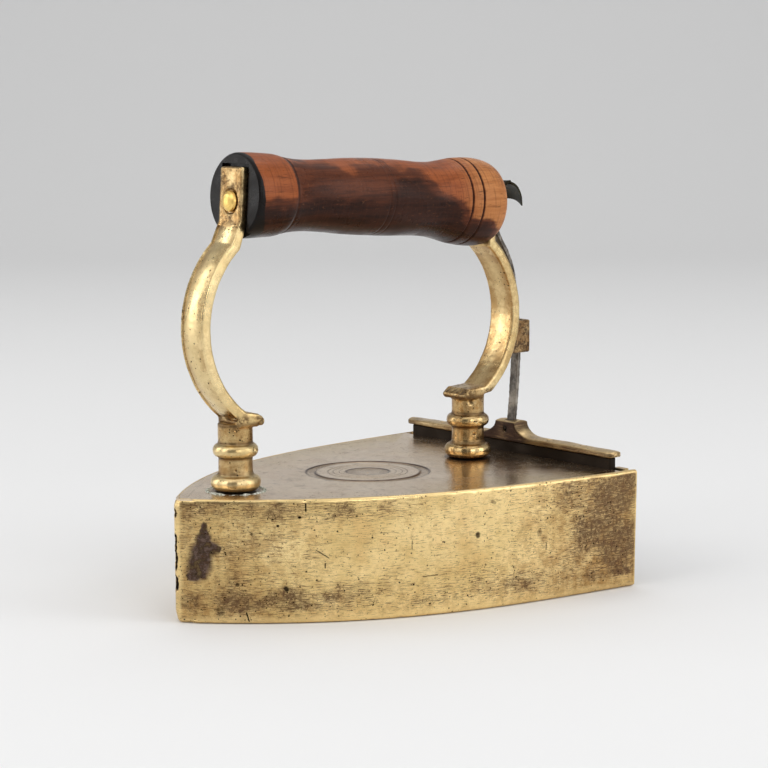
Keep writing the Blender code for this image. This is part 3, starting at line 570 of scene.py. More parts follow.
def studio_floor():
    """A pale sheet that curves up behind the object."""
    half, front, bend, radius, top, steps = 3.0, -2.6, 1.5, 0.9, 3.2, 24
    profile = [(front, 0.0), (bend, 0.0)]
    for i in range(1, steps + 1):
        turn = pi / 2 * i / steps
        profile.append((bend + radius * sin(turn), radius * (1 - cos(turn))))
    profile.append((bend + radius, top))
    bm = bmesh.new()
    rows = [[bm.verts.new((x, y, z)) for x in (-half, half)] for y, z in profile]
    for low, high in zip(rows, rows[1:]):
        bm.faces.new((low[0], low[1], high[1], high[0]))
    mesh = bpy.data.meshes.new("studio_floor")
    bm.to_mesh(mesh)
    bm.free()
    mesh.shade_smooth()
    mesh.materials.append(matte("paper", (0.82, 0.82, 0.82)))
    floor = placed("studio_floor", mesh)
    floor.rotation_euler = (0, 0, CAMERA_AZIMUTH)
    floor.location = (0, 0, -0.0002)


def area_light(name, azimuth, elevation, distance, size, power):
    """A softbox that looks at the object. Angles are as for the camera, in degrees."""
    data = bpy.data.lights.new(name, "AREA")
    data.shape = "RECTANGLE"
    data.size, data.size_y = size
    data.energy = power
    lamp = placed(name, data)
    out = direction(radians(azimuth), radians(elevation))
    lamp.location = Vector((0, 0, 0.06)) + out * distance
    lamp.rotation_mode = "QUATERNION"
    lamp.rotation_quaternion = (-out).to_track_quat("-Z", "Y")


def direction(azimuth, elevation):
    """From the object to a place round it. Azimuth 0 is in front of the nose, 90 on the +X side."""
    return Vector((sin(azimuth) * cos(elevation), -cos(azimuth) * cos(elevation), sin(elevation)))


CAMERA_AZIMUTH = radians(50.28)
CAMERA_ELEVATION = radians(7.69)
CAMERA_ROLL = radians(-0.25)
CAMERA_DISTANCE = 0.873
CAMERA_LENS = 112.45
CAMERA_TARGET = Vector((0.01358, 0.00146, 0.07826))


def camera():
    data = bpy.data.cameras.new("camera")
    data.lens = CAMERA_LENS
    data.sensor_width = 36.0
    data.clip_start, data.clip_end = 0.05, 20.0
    view = placed("camera", data)
    back = direction(CAMERA_AZIMUTH, CAMERA_ELEVATION)
    right = (-back).cross(Vector((0, 0, 1))).normalized()
    up = right.cross(-back)
    turned_right = right * cos(CAMERA_ROLL) + up * sin(CAMERA_ROLL)
    turned_up = up * cos(CAMERA_ROLL) - right * sin(CAMERA_ROLL)
    frame_matrix = Matrix((turned_right, turned_up, back)).transposed().to_4x4()
    view.matrix_world = Matrix.Translation(CAMERA_TARGET + back * CAMERA_DISTANCE) @ frame_matrix
    bpy.context.scene.camera = view


def studio_world():
    """An even pale surround, darker on the camera's side."""
    world = bpy.data.worlds.new("studio")
    world.use_nodes = True
    tree = world.node_tree
    look = tree.nodes.new("ShaderNodeTexCoord").outputs["Generated"]
    dot = tree.nodes.new("ShaderNodeVectorMath")
    dot.operation = "DOT_PRODUCT"
    tree.links.new(look, dot.inputs[0])
    dot.inputs[1].default_value = direction(radians(30), radians(4))
    fade = tree.nodes.new("ShaderNodeMapRange")
    fade.interpolation_type = "SMOOTHSTEP"
    tree.links.new(dot.outputs["Value"], fade.inputs["Value"])
    for key, number in (("From Min", 0.78), ("From Max", 0.97), ("To Min", 0.52), ("To Max", 0.12)):
        fade.inputs[key].default_value = number
    back = tree.nodes["Background"]
    back.inputs["Color"].default_value = (1.0, 1.0, 1.0, 1.0)
    tree.links.new(fade.outputs["Result"], back.inputs["Strength"])
    bpy.context.scene.world = world


def lights():
    studio_world()
    bpy.context.scene.view_settings.view_transform = "Standard"
    area_light("left softbox", -4, 26, 1.5, (0.7, 1.2), 5.0)
    area_light("left strip", -50, 16, 1.5, (0.35, 1.2), 4.0)
    area_light("right softbox", 122, 24, 1.5, (0.8, 1.3), 6.0)
    area_light("front fill", 76, 20, 1.5, (0.6, 0.6), 3.0)
    area_light("top softbox", 50, 84, 1.5, (1.8, 1.8), 7.3)
    area_light("background light", 228, 60, 2.2, (1.6, 1.0), 5.2)


camera()
studio_floor()
lights()


# Body walls and top plate -----------------------------------------------------------------

def right_half(scale, nose_steps, flank_steps):
    """Points and normals of the right half of the plan, from the tip of the nose to the rear."""
    found = []
    for i in range(nose_steps):
        turn = (pi / 2 - NOSE_HALF_ANGLE) * i / nose_steps
        normal = Vector((sin(turn), -cos(turn)))
        place = Vector((0, NOSE_Y + NOSE_RADIUS)) + normal * NOSE_RADIUS
        found.append((Vector((place.x * scale, place.y)), normal))
    for i in range(flank_steps + 1):
        found.append(flank_point(i / flank_steps, scale))
    return found


def smoothstep(value, low, high):
    share = min(1.0, max(0.0, (value - low) / (high - low)))
    return share * share * (3 - 2 * share)


def wall_section(height_steps=96):
    """Closed section of the wall: (how far in from the outer face, height), with round edges."""
    r = EDGE_ROUND
    section = []
    for i in range(height_steps + 1):
        section.append((0.0, r + (BODY_HEIGHT - 2 * r) * i / height_steps))
    for i in range(1, 6):
        turn = pi / 2 * i / 5
        section.append((r * (1 - cos(turn)), BODY_HEIGHT - r * (1 - sin(turn))))
    section.append((r + 0.0002, BODY_HEIGHT - 0.0002))
    section.append((WALL, BODY_HEIGHT - 0.0002))
    section.append((WALL, BODY_HEIGHT / 2))
    section.append((WALL, 0.0))
    for i in range(5):
        turn = pi / 2 * i / 5
        section.append((r * (1 - sin(turn)), r * (1 - cos(turn))))
    return section


def nose_dent(place):
    """0 to 1 inside the dents in the left side of the nose edge."""
    deepest = 0.0
    if place.y < NOSE_Y + 0.004:
        for height, size in NOSE_DENTS:
            gap = place - Vector((-0.0009, NOSE_Y + 0.0001, height))
            gap.z *= 0.65
            reach = gap.length * (1 + 0.3 * noise.noise(place * 900))
            deepest = max(deepest, 1 - smoothstep(reach, 0.0007, 0.0017 * size))
    return deepest


def wall_wear(place, side):
    """How far the outer face is sunk: waviness, chips in the edges, dents and deep marks."""
    sunk = 0.00007 * (1 + noise.noise(place * 55))
    sunk += 0.00006 * max(0.0, noise.noise(place * 400) - 0.15)
    edge = min(place.z, BODY_HEIGHT - place.z)
    if edge < 0.0022:
        chips = max(0.0, noise.noise(place * 300 + Vector((7, 3, 1))) - 0.30)
        sunk += 0.0010 * chips * (1 - smoothstep(edge, 0.0, 0.0022))
    sunk += 0.0013 * nose_dent(place)
    if place.y < NOSE_Y + 0.004:
        sunk += 0.0008 * (1 - smoothstep(place.z, 0.0, 0.005))
        sunk += 0.0006 * smoothstep(place.z, BODY_HEIGHT - 0.003, BODY_HEIGHT)
    if side > 0:
        for start, end, radius, strength in WALL_MARKS:
            behind = (start[0] + end[0]) / 2
            if 0.0004 < radius < 0.0012 and abs(place.y - NOSE_Y - behind) < 0.002:
                gap = (place - wall_point(*start)).length / radius
                sunk += 0.00025 * (1 - smoothstep(gap, 0.2, 1.2))
    return sunk


def wall_film(place):
    """Broad darker zones: by the nose, low down and towards the rear."""
    behind, height = place.y - NOSE_Y, place.z
    cloud = noise.noise(place * 40)
    nose = 1 - smoothstep(behind + 0.008 * cloud, 0.004, 0.048)
    rear = smoothstep(behind + 0.010 * cloud, 0.090, 0.145)
    low = 1 - smoothstep(height + 0.004 * cloud, 0.006, 0.021)
    return min(1.0, 0.52 * nose + 0.68 * rear + 0.16 * low + 0.12 * max(0.0, cloud))


def wall_grime(place):
    """Brown tarnish: low down, at the rear end and under the top edge by the nose."""
    behind, height = place.y - NOSE_Y, place.z
    cloud = noise.noise(place * 70) + 0.5 * noise.noise(place * 170)
    low_band = smoothstep(height, 0.0030, 0.0055) * (1 - smoothstep(height, 0.0085, 0.0185 + 0.004 * cloud))
    low_band *= 0.44 + 0.56 * cloud + 0.20 * (1 - smoothstep(behind, 0.03, 0.06))
    rear = smoothstep(behind + 0.008 * cloud, 0.100, 0.152) * (0.70 + 0.75 * cloud)
    rear *= smoothstep(height, 0.0035, 0.0060)
    front = (1 - smoothstep(behind, 0.012, 0.045)) * (0.46 + 0.5 * cloud)
    top = smoothstep(height, 0.0340, 0.0385) * (1 - smoothstep(behind, 0.03, 0.09)) * (0.55 + 0.4 * cloud)
    return max(0.0, min(1.0, max(low_band, rear, front * 0.8, top)))


def wall_clean(place):
    """Bright worn bands along the sole, the top edge, the nose and the rear corner."""
    cloud = 0.0008 * noise.noise(place * 120)
    rim = 0.8 - 0.8 * smoothstep(place.z + 1.6 * cloud, 0.0012, 0.0030)
    rim = max(rim, smoothstep(place.z + cloud, BODY_HEIGHT - 0.0012, BODY_HEIGHT - 0.0005))
    nose = 0.8 - 0.8 * smoothstep((Vector(place.xy) - Vector((0, NOSE_Y))).length + cloud, 0.0014, 0.0030)
    rear = 0.4 * smoothstep(place.y, REAR_Y - 0.0010, REAR_Y - 0.0004)
    return max(rim, nose, rear)


def body_shell():
    section = wall_section()
    top = right_half(1.0, 8, 230)
    low = right_half(SOLE_SCALE, 8, 230)
    columns = [(a, b, n, 1) for (a, n), (b, _) in zip(top, low)]
    columns = [(a, b, n, -1) for a, b, n, _ in reversed(columns[1:])] + columns
    bm = bmesh.new()
    film, grime, shade, clean = [bm.verts.layers.float.new(key) for key in ("film", "grime", "shade", "clean")]
    rings = []
    for above, below, normal, side in columns:
        ring = []
        out = Vector((side * normal.x, normal.y, 0))
        for inset, height in section:
            place = below.lerp(above, height / BODY_HEIGHT)
            x = place.x - normal.x * inset
            y = min(place.y - normal.y * inset, REAR_Y)
            if x < 0:
                y -= x * normal.x / max(-normal.y, 0.3)
                x = 0.0
            point = Vector((side * x, y, height))
            outside = inset < EDGE_ROUND * 1.01
            vert = bm.verts.new(point - out * wall_wear(point, side) if outside else point)
            vert[film] = wall_film(point) if outside else 0.8
            vert[grime] = wall_grime(point) if outside else 0.8
            vert[shade] = nose_dent(point) if outside else 0.0
            vert[clean] = wall_clean(point) * (1 - vert[shade]) if outside else 0.0
            ring.append(vert)
        rings.append(ring)
    bridge(bm, rings)
    bm.faces.new(rings[0])
    bm.faces.new(rings[-1])
    bmesh.ops.remove_doubles(bm, verts=bm.verts, dist=0.000005)
    return add_piece("body_shell", bm, BODY_BRASS, "iron_body", "body_brass", "body_walls")


# Rings cut into the top plate: lines as (radius, half width, depth), hollows as (inner, outer, depth)
LINES = ((0.0148, 0.00022, 0.00016), (0.0129, 0.00018, 0.00012), (0.0106, 0.00014, 0.00008))
COVE = (0.0194, 0.0230, 0.00060)
DISH = (-0.0082, 0.0082, 0.00055)


def engraving(radius):
    """Depth of the turned rings round the middle of the top plate."""
    depth = sum(d * exp(-((radius - at) / w) ** 2) for at, w, d in LINES)
    for inner, outer, deep in (COVE, DISH):
        share = (2 * radius - inner - outer) / (outer - inner)
        if abs(share) < 1:
            depth += deep * (1 - share ** 4)
    return depth + 0.0003 * exp(-(radius / 0.0004) ** 2)


def ring_shade(radius):
    """Dark in the rings, heaviest along their edges: residue in the cuts, and painted shade filling the cove
    and the dish.
    """
    shade = sum(0.7 * exp(-((radius - at) / (1.2 * w)) ** 2) for at, w, d in LINES)
    for inner, outer, deep in (COVE, DISH):
        for edge in (inner, outer):
            shade += 0.85 * exp(-((radius - edge) / 0.00050) ** 2)
    # The floors of the cove and the dish are filled with painted shade, for their darker reflections
    if COVE[0] < radius < COVE[1]:
        shade += 0.34
    if radius < DISH[1]:
        shade += 0.30 + 0.25 * smoothstep(radius, 0.002, DISH[1])
    return min(1.0, shade)


def sheet_outline(rear_y):
    """Outline of the top plate with outward normals: the right side, the rear edge, the left side."""
    side = [(Vector((0, NOSE_Y + SHEET_INSET)), Vector((0, -1)))]
    for point, normal in right_half(1.0, 4, 160):
        inset = point - normal * SHEET_INSET
        if inset.x > 0 and inset.y < rear_y:
            side.append((inset, normal))
    corner = side[-1][0].x
    rear = [(Vector((corner * (1 - i / 40), rear_y)), None) for i in range(41)]
    right = side + rear
    mirrored = [(Vector((-p.x, p.y)), Vector((-n.x, n.y)) if n else None) for p, n in reversed(right[1:-1])]
    return right + mirrored


def top_sheet():
    """The top plate, meshed in rays from the middle of its rings, which are cut into it."""
    low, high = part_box("top_plate")
    centre = Vector((0, RING_Y))
    reach, far = 0.0262, 0.05     # past the rings, and past where any paint by the edge ends
    inner = [reach * i / 180 for i in range(1, 181)]
    outer = [i / 36 for i in range(1, 37)]
    bm = bmesh.new()
    keys = ("grime", "shade", "clean", "film", "gold", "run", "gap")
    grime, shade, clean, film, gold, run, gap = [bm.verts.layers.float.new(key) for key in keys]
    hub = bm.verts.new((0, RING_Y, high[2] - engraving(0)))
    hub[shade], hub[gap] = 0.6, far
    rays = []
    travelled, before = 0.0, None
    for corner, normal in sheet_outline(high[1]):
        travelled += (corner - before).length if before else 0.0
        before = corner
        span = (corner - centre).length
        out = (corner - centre) / span
        ray = []
        for radius in inner + [reach + (span - reach) * share for share in outer]:
            place = centre + out * radius
            flat = Vector((place.x, place.y, 0))
            cloud = noise.noise(flat * 90)
            swell = 0.00006 * noise.noise(flat * 45) - 0.00007
            vert = bm.verts.new((place.x, place.y, high[2] - engraving(radius) + swell))
            post = min((place - Vector((0, y))).length for y in (FRONT_POST_Y, REAR_POST_Y)) + 0.0005 * cloud
            vert[shade] = max(ring_shade(radius), 0.9 * (1 - smoothstep(post, 0.0090, 0.0096)))
            vert[grime] = min(1.0, 0.3 * max(0.0, cloud) + 0.6 * (1 - smoothstep(post, 0.0092, 0.0120)))
            vert[run] = travelled
            vert[gap] = (corner - place).dot(normal) if normal else far
            vert[clean] = 1 - smoothstep(vert[gap], 0.0004, 0.0022)
            rearward = smoothstep(place.y, -0.060, 0.045)
            inside = smoothstep(vert[gap] + 0.006 * cloud, 0.002, 0.010 + 0.018 * rearward)
            vert[gold] = rearward * (1 - inside)
            vert[film] = 0.25 * max(0.0, cloud)
            ray.append(vert)
        ray.append(bm.verts.new((corner.x, corner.y, high[2] - 0.0008)))
        ray.append(bm.verts.new((corner.x * 0.94, corner.y * 0.94, low[2])))
        rays.append(ray)
    count = len(rays)
    for i in range(count):
        one, two = rays[i], rays[(i + 1) % count]
        bm.faces.new((hub, one[0], two[0]))
        for j in range(len(one) - 1):
            bm.faces.new((one[j], one[j + 1], two[j + 1], two[j]))
    bm.faces.new([ray[-1] for ray in rays])
    return add_piece("top_sheet", bm, PLATE_BRASS, "iron_body", "plate_brass", "top_plate")


def post_crust():
    """Pale dried residue round the foot of the front post."""
    around, across, inner, outer = 220, 8, 0.0091, 0.0111
    bm = bmesh.new()
    rings = []
    for i in range(around):
        turn = 2 * pi * i / around
        out = Vector((cos(turn), sin(turn), 0))
        ring = []
        for j in range(across + 1):
            share = j / across
            place = out * (inner + (outer - inner) * share) + Vector((0, FRONT_POST_Y, 0))
            patch = max(0.0, 0.45 + noise.noise(place * 420) + 0.5 * noise.noise(place * 1500))
            rise = 0.00075 * min(1.0, patch) * sin(pi * share)
            ring.append(bm.verts.new((place.x, place.y, BODY_HEIGHT - 0.00018 + rise)))
        for share in (1.0, 0.0):
            place = out * (inner + (outer - inner) * share) + Vector((0, FRONT_POST_Y, 0))
            ring.append(bm.verts.new((place.x, place.y, BODY_HEIGHT - 0.0006)))
        rings.append(ring)
    bridge(bm, rings + rings[:1])
    return add_piece("post_crust", bm, SALT, "iron_body", "plate_brass")


body_shell()
top_sheet()
post_crust()


# Brackets, collar and gate ----------------------------------------------------------------

STRAP_HALF_WIDTH = 0.0065
SPUR_ROOT = 0.05          # how far fore or aft of the middle a spur leaves its neck
EAR_BOTTOM = 0.134


def bracket_wear(seed, pits, crown, spur_roughness):
    """Uneven casting with pits. Crown rounds the outer face of the strap across its width."""
    def shape(point, normal):
        if 0.070 < point.z < 0.138 and abs(normal.x) < 0.35 and normal.y * point.y > 0:
            point = point - normal * (crown * (point.x / STRAP_HALF_WIDTH) ** 2)
        inwards = SPUR_ROOT - abs(point.y)
        spur = smoothstep(point.z, 0.0655, 0.0668) * (1 - smoothstep(point.z, 0.0715, 0.0735))
        spur *= smoothstep(inwards, -0.0015, 0.0015)
        point = lumps(point, normal, 0.006, 0.00010, seed)
        ear = smoothstep(point.z, EAR_BOTTOM, 0.139)
        point = lumps(point, normal, 0.0018, 0.00004 + spur_roughness * spur + 0.00005 * ear, seed + 5)
        return pitted(point, normal, pits)
    return shape


# Heights above the plate of the hollows between a post's rings
HOLLOWS = ((0.0002, 0.0005), (0.0064, 0.0008), (0.0120, 0.0007), (0.0174, 0.0007), (0.0240, 0.0009))


def bracket_paint(point, normal):
    """Residue in the hollows of the post and on the spur, a film on the neck, the ear and the rear one, and a
    painted highlight band down the strap's outer face with painted shade at its edges.
    """
    height = point.z - BODY_HEIGHT
    cloud = noise.noise(point * 150)
    shade = 0.0
    outer = (1 - smoothstep(abs(normal.x), 0.35, 0.75)) * (height > 0.026)
    # A painted highlight band down the middle of the strap's outer face; beside it the face gets painted shade
    highlight_band = outer * exp(-(point.x / 0.0030) ** 2)
    for at, width in HOLLOWS:
        shade = max(shade, exp(-((height - at) / width) ** 2) * (0.85 + 0.4 * cloud))
    neck = smoothstep(height, 0.0052, 0.0066) * (1 - smoothstep(height, 0.022, 0.026))
    neck *= 1 - smoothstep(height, 0.0118, 0.0128) * (1 - smoothstep(height, 0.0166, 0.0176))
    ear = smoothstep(point.z, EAR_BOTTOM, 0.140)
    spur = smoothstep(height, 0.0215, 0.0235) * (1 - smoothstep(height, 0.026, 0.029))
    shade = max(shade, spur * smoothstep(noise.noise(point * 520), 0.10, 0.40) * 0.9)
    # The film mask is tarnish, and on the strap's outer face beside the highlight band it is painted shade
    film = 0.80 * neck + 0.70 * ear + 0.60 * spur + 0.40 * outer * (1 - highlight_band)
    film += 0.85 * (point.y > 0) + 0.3 * cloud
    side = smoothstep(abs(normal.x), 0.75, 0.95) * (1 - neck)
    grime = max(0.80 * spur, 0.80 * ear, 0.50 * neck) * (0.9 + 0.6 * cloud)
    # The highlight band goes into the colour as painted highlight through the wear mask
    return {"film": min(1.0, max(0.0, film) * (1 - 0.6 * side)), "grime": max(0.0, grime),
            "shade": min(1.0, shade), "clean": 0.6 * highlight_band * (1 - ear)}


def brackets():
    front_pits = [((0.0066, -0.0478, 0.0692), 0.0016, 0.0006), ((0.0064, -0.0500, 0.0678), 0.0009, 0.0005),
                  ((0.0075, -0.0530, 0.0590), 0.0007, 0.0006), ((0.0066, -0.0516, 0.0584), 0.0009, 0.0007),
                  ((0.0050, -0.0592, 0.0664), 0.0008, 0.0003), ((0.0052, -0.0594, 0.0520), 0.0009, 0.0004)]
    rear_pits = [((0.0055, 0.0510, 0.0660), 0.0015, 0.0007), ((0.0060, 0.0525, 0.0535), 0.0009, 0.0005),
                 ((0.0078, 0.0520, 0.0586), 0.0006, 0.0005)]
    pairs = (("front_bracket", front_pits, 1.0, 0.00042), ("rear_bracket", rear_pits, 2.0, 0.00008))
    for name, pits, seed, spur_roughness in pairs:
        wear = bracket_wear(seed, pits, 0.00085, spur_roughness)
        piece = remade("worn_" + name, name, HANDLE_BRASS, 0.00033, 2, wear, bracket_paint)
        finish_piece(piece, "iron_body", "handle_brass", name)


CAP_LOW, CAP_HIGH = [Vector(corner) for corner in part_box("gate_cap")]
CAP_MIDDLE = (CAP_LOW + CAP_HIGH) / 2


def cap_wear(point, normal):
    """Tongue-shaped ends and a top that is rounded across the bar."""
    across = (point.y - CAP_MIDDLE.y) / (CAP_HIGH.y - CAP_MIDDLE.y)
    end = (CAP_HIGH.x - CAP_LOW.x) / 2 - abs(point.x - CAP_MIDDLE.x)
    reach = 0.0036
    if end < reach:
        point.y = CAP_MIDDLE.y + (point.y - CAP_MIDDLE.y) * sqrt(max(0.22, 1 - (1 - end / reach) ** 2))
    if point.z > CAP_LOW.z + 0.0010:
        point.z -= 0.00055 * across * across
    return lumps(lumps(point, normal, 0.007, 0.00016, 3.0), normal, 0.0020, 0.00005, 8.0)


def cap_paint(point, normal):
    """Blackened front and fillets, as painted shade; worn gold on the top of the bar and the rim of the boss,
    as wear and painted highlight.
    """
    cloud = noise.noise(point * 110)
    away = abs(point.x - CAP_MIDDLE.x)
    boss = 1 - smoothstep(away, 0.008, 0.020)
    # Faces towards the front, and the boss's steeper faces, are darkened as painted shade
    front = smoothstep(-normal.y, 0.4, 0.8)
    shade = max(front * (0.55 + 0.45 * boss), 0.75 * boss * (1 - smoothstep(normal.z, 0.75, 0.97)))
    shade = min(1.35, max(0.0, shade * (1.25 + 0.5 * cloud)))
    # Upward faces are lighter, as wear and painted highlight
    top = smoothstep(normal.z, 0.6, 0.95)
    worn_and_lit = top * (0.45 + 0.45 * smoothstep(cloud, -0.2, 0.4))
    return {"film": 0.55 + 0.3 * cloud, "grime": 0.45 + 0.4 * cloud,
            "shade": shade * (1 - worn_and_lit), "clean": worn_and_lit}


def plain_wear(point, normal):
    return lumps(lumps(point, normal, 0.006, 0.00010, 3.0), normal, 0.0018, 0.00005, 8.0)


def collar_wear(point, normal):
    """Worn a little below the CAD's faces, so that no lump stands out of them."""
    return plain_wear(point, normal) - normal * 0.00014


def collar_paint(point, normal):
    """Tarnished all over, with painted shade underneath, and lighter on top."""
    cloud = noise.noise(point * 240)
    # Faces that look down get painted shade; faces that look up are made lighter
    shaded_underside = smoothstep(-normal.z, 0.3, 0.8)
    return {"film": 0.90 + 0.2 * cloud, "grime": 0.9 + 0.3 * cloud,
            "shade": max(0.0, 0.30 + 0.5 * shaded_underside + 0.5 * cloud),
            "clean": 0.25 * smoothstep(normal.z, 0.6, 0.95)}


def small_castings():
    collar = remade("worn_collar", "guide_collar", CAP_BRASS, 0.00026, 5, collar_wear, collar_paint)
    finish_piece(collar, "iron_body", "dark_brass", "guide_collar")
    cap = remade("worn_cap", "gate_cap", CAP_BRASS, 0.00030, 3, cap_wear, cap_paint)
    finish_piece(cap, "gate", "dark_brass", "gate_cap")
    rod = remade("forged_rod", "lift_rod", ROD_IRON, 0.00022, 4, plain_wear)
    finish_piece(rod, "gate", "rod_iron", "lift_rod")


def smooth_curve(points, share):
    """A point, as a Vector, at a share of a smooth curve through evenly spaced points."""
    at = share * (len(points) - 1)
    i = min(int(at), len(points) - 2)
    t = at - i
    p0, p1, p2, p3 = [Vector(points[max(0, min(len(points) - 1, k))]) for k in (i - 1, i, i + 1, i + 2)]
    return 0.5 * (2 * p1 + (p2 - p0) * t + (2 * p0 - 5 * p1 + 4 * p2 - p3) * t * t
                  + (3 * p1 - p0 - 3 * p2 + p3) * t ** 3)


def thumb_claw():
    """The thumb leaf: a curled blade with drooping sides and pointed corners."""
    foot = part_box("thumb_leaf")[0][1] + 0.0006
    # how far back, height and half width along the middle of the leaf
    middle = ((0.0, 0.1405, 0.0024), (0.0, 0.1435, 0.0026), (0.0001, 0.1460, 0.0032),
              (0.0007, 0.1477, 0.0042), (0.0018, 0.1487, 0.0055), (0.0032, 0.1486, 0.0067),
              (0.0046, 0.1477, 0.0077), (0.0058, 0.1461, 0.0083), (0.0068, 0.1440, 0.0085),
              (0.0074, 0.1416, 0.0084))
    rows, columns, droop, horn = 60, 28, 0.0017, 0.0022
    bm = bmesh.new()
    top, bottom = [], []
    for row in range(rows + 1):
        share = row / rows
        back, height, half = smooth_curve(middle, share)
        ahead = smooth_curve(middle, min(1.0, share + 0.01)) - smooth_curve(middle, max(0.0, share - 0.01))
        along = Vector((0, ahead.x, ahead.y)).normalized()
        out = Vector((0, along.z, -along.y))
        out = out if out.y > 0 or out.z > 0 else -out
        late = smoothstep(share, 0.30, 1.0)
        upper, lower = [], []
        for column in range(columns + 1):
            u = 2 * column / columns - 1
            place = Vector((half * u, foot + back, height))
            place -= out * (droop * late * u * u)
            place += along * (horn * late * late * (abs(u) ** 2.5 - 0.35))
            thick = 0.0006 * (1 - 0.45 * late * u * u)
            upper.append(bm.verts.new(place + out * thick))
            lower.append(bm.verts.new(place - out * thick))
        top.append(upper)
        bottom.append(lower)
    for one, two, three, four in zip(top, top[1:], bottom, bottom[1:]):
        for i in range(columns):
            bm.faces.new((one[i], one[i + 1], two[i + 1], two[i]))
            bm.faces.new((three[i], four[i], four[i + 1], three[i + 1]))
        for i in (0, -1):
            bm.faces.new((one[i], two[i], four[i], three[i]))
    for upper, lower in ((top[0], bottom[0]), (top[-1], bottom[-1])):
        for i in range(columns):
            bm.faces.new((upper[i], lower[i], lower[i + 1], upper[i + 1]))
    return add_piece("thumb_claw", bm, LEAF_IRON_AND_SHADE, "gate", "rod_iron", "thumb_leaf")


brackets()
small_castings()
thumb_claw()


# Grip -------------------------------------------------------------------------------------

GRIP_MEAN_RADIUS = 0.015
SLOT_HALF, SLOT_DEPTH, SLOT_TOP = 0.0079, 0.0020, 0.0112     # room for an ear in each end of the grip

# Cut lines round the grip: place, half width, depth
GROOVES = ((0.0182, 0.00070, 0.00022), (0.0600, 0.00035, 0.00012), (0.0625, 0.00030, 0.00010),
           (0.0985, 0.00034, 0.00050), (0.1034, 0.00034, 0.00050))


def grip_radius(along):
    """Radius of the turned grip, with its bead, waists, bulb and cut grooves."""
    points = ((0.0, 0.0144), (0.0006, 0.01495), (0.0016, 0.0151), (0.0050, 0.0151), (0.0100, 0.0149),
              (0.0150, 0.0146), (0.0185, 0.0139), (0.0210, 0.0134), (0.0260, 0.0129), (0.0320, 0.0128),
              (0.0400, 0.0132), (0.0490, 0.0138), (0.0590, 0.0141), (0.0680, 0.0141), (0.0760, 0.0139),
              (0.0830, 0.0137), (0.0890, 0.0140), (0.0950, 0.0150), (0.1000, 0.0160), (0.1050, 0.0165),
              (0.1095, 0.0166), (0.1135, 0.0161), (0.1160, 0.0150), (GRIP_LENGTH, 0.0132))
    i = 0
    while i < len(points) - 2 and along > points[i + 1][0]:
        i += 1
    (x1, r1), (x2, r2) = points[i], points[i + 1]
    x0, r0 = points[max(i - 1, 0)]
    x3, r3 = points[min(i + 2, len(points) - 1)]
    m1 = (r2 - r0) / max(x2 - x0, 1e-9)
    m2 = (r3 - r1) / max(x3 - x1, 1e-9)
    t, h = (along - x1) / (x2 - x1), x2 - x1
    radius = ((2 * t ** 3 - 3 * t * t + 1) * r1 + (t ** 3 - 2 * t * t + t) * h * m1
              + (3 * t * t - 2 * t ** 3) * r2 + (t ** 3 - t * t) * h * m2)
    for at, width, depth in GROOVES:
        radius -= depth * exp(-((along - at) / width) ** 2)
    return radius


def orange_limit(along):
    """How far down from the top the wood is still orange: -1 at the top, 1 at the bottom."""
    points = ((0.0, 0.25), (0.013, 0.10), (0.0172, -0.15), (0.0205, -0.98), (0.034, -0.95), (0.055, -0.86),
              (0.070, -0.78), (0.080, -0.50), (0.090, -0.05), (0.098, 0.30), (0.105, 0.50),
              (GRIP_LENGTH, 0.78))
    for (x1, y1), (x2, y2) in zip(points, points[1:]):
        if along <= x2:
            return y1 + (y2 - y1) * (along - x1) / (x2 - x1)
    return points[-1][1]


def grip_paint(point):
    """Burnt front end, darker underside and middle, amber rear end, dark cut lines, painted shade in the
    slots.
    """
    along = (point - GRIP_FRONT).dot(GRIP_DIRECTION)
    low = -(point - GRIP_FRONT).dot(GRIP_UP) / GRIP_MEAN_RADIUS
    wander = noise.noise(point * 80) * 0.30 + noise.noise(point * 230) * 0.14
    limit = orange_limit(along)
    deep = smoothstep(low + wander, limit - 0.32, limit + 0.38)
    middle = smoothstep(along, 0.058, 0.066) * (1 - smoothstep(along, 0.085, 0.095))
    dark = deep * (0.56 + 0.58 * smoothstep(low + 0.6 * wander, -0.45, 0.60) + 0.32 * middle)
    for at, width, depth in GROOVES:
        dark = max(dark, (0.95 if depth > 0.0002 else 0.5) * exp(-((along - at) / (1.3 * width)) ** 2))
    between_sides = abs(point.x) < SLOT_HALF + HAIR
    slot_top = -SLOT_TOP / GRIP_MEAN_RADIUS
    near_rear = GRIP_LENGTH - SLOT_DEPTH - HAIR < along < GRIP_LENGTH - HAIR
    rear_slot = between_sides and low > slot_top and near_rear
    front_slot = between_sides and low > slot_top - 0.01 and along < SLOT_DEPTH + 2 * HAIR
    edge = 0.0011 + 0.0020 * wander
    edge += 0.0012 * smoothstep(low, -0.9, 0.2) + 0.0046 * smoothstep(low, 0.25, 1.0)
    # Inside the front slot the wood is painted black, as char and as the slot's painted shade
    char = 1.0 if front_slot else 1 - smoothstep(along, edge - 0.0007, edge + 0.0012)
    amber = smoothstep(along + wander * 0.006, 0.092, 0.106)
    # Inside the rear slot the wood is painted darkest, as painted shade
    return {"dark": 1.2 if rear_slot else dark, "char": char, "amber": amber}


def grip_rows():
    """Distances along the grip, closer together at its ends and grooves."""
    rows = {round(GRIP_LENGTH * i / 230, 6) for i in range(231)}
    for at, width, depth in GROOVES:
        rows |= {round(at + width * i / 4, 6) for i in range(-8, 9)}
    return sorted(rows)


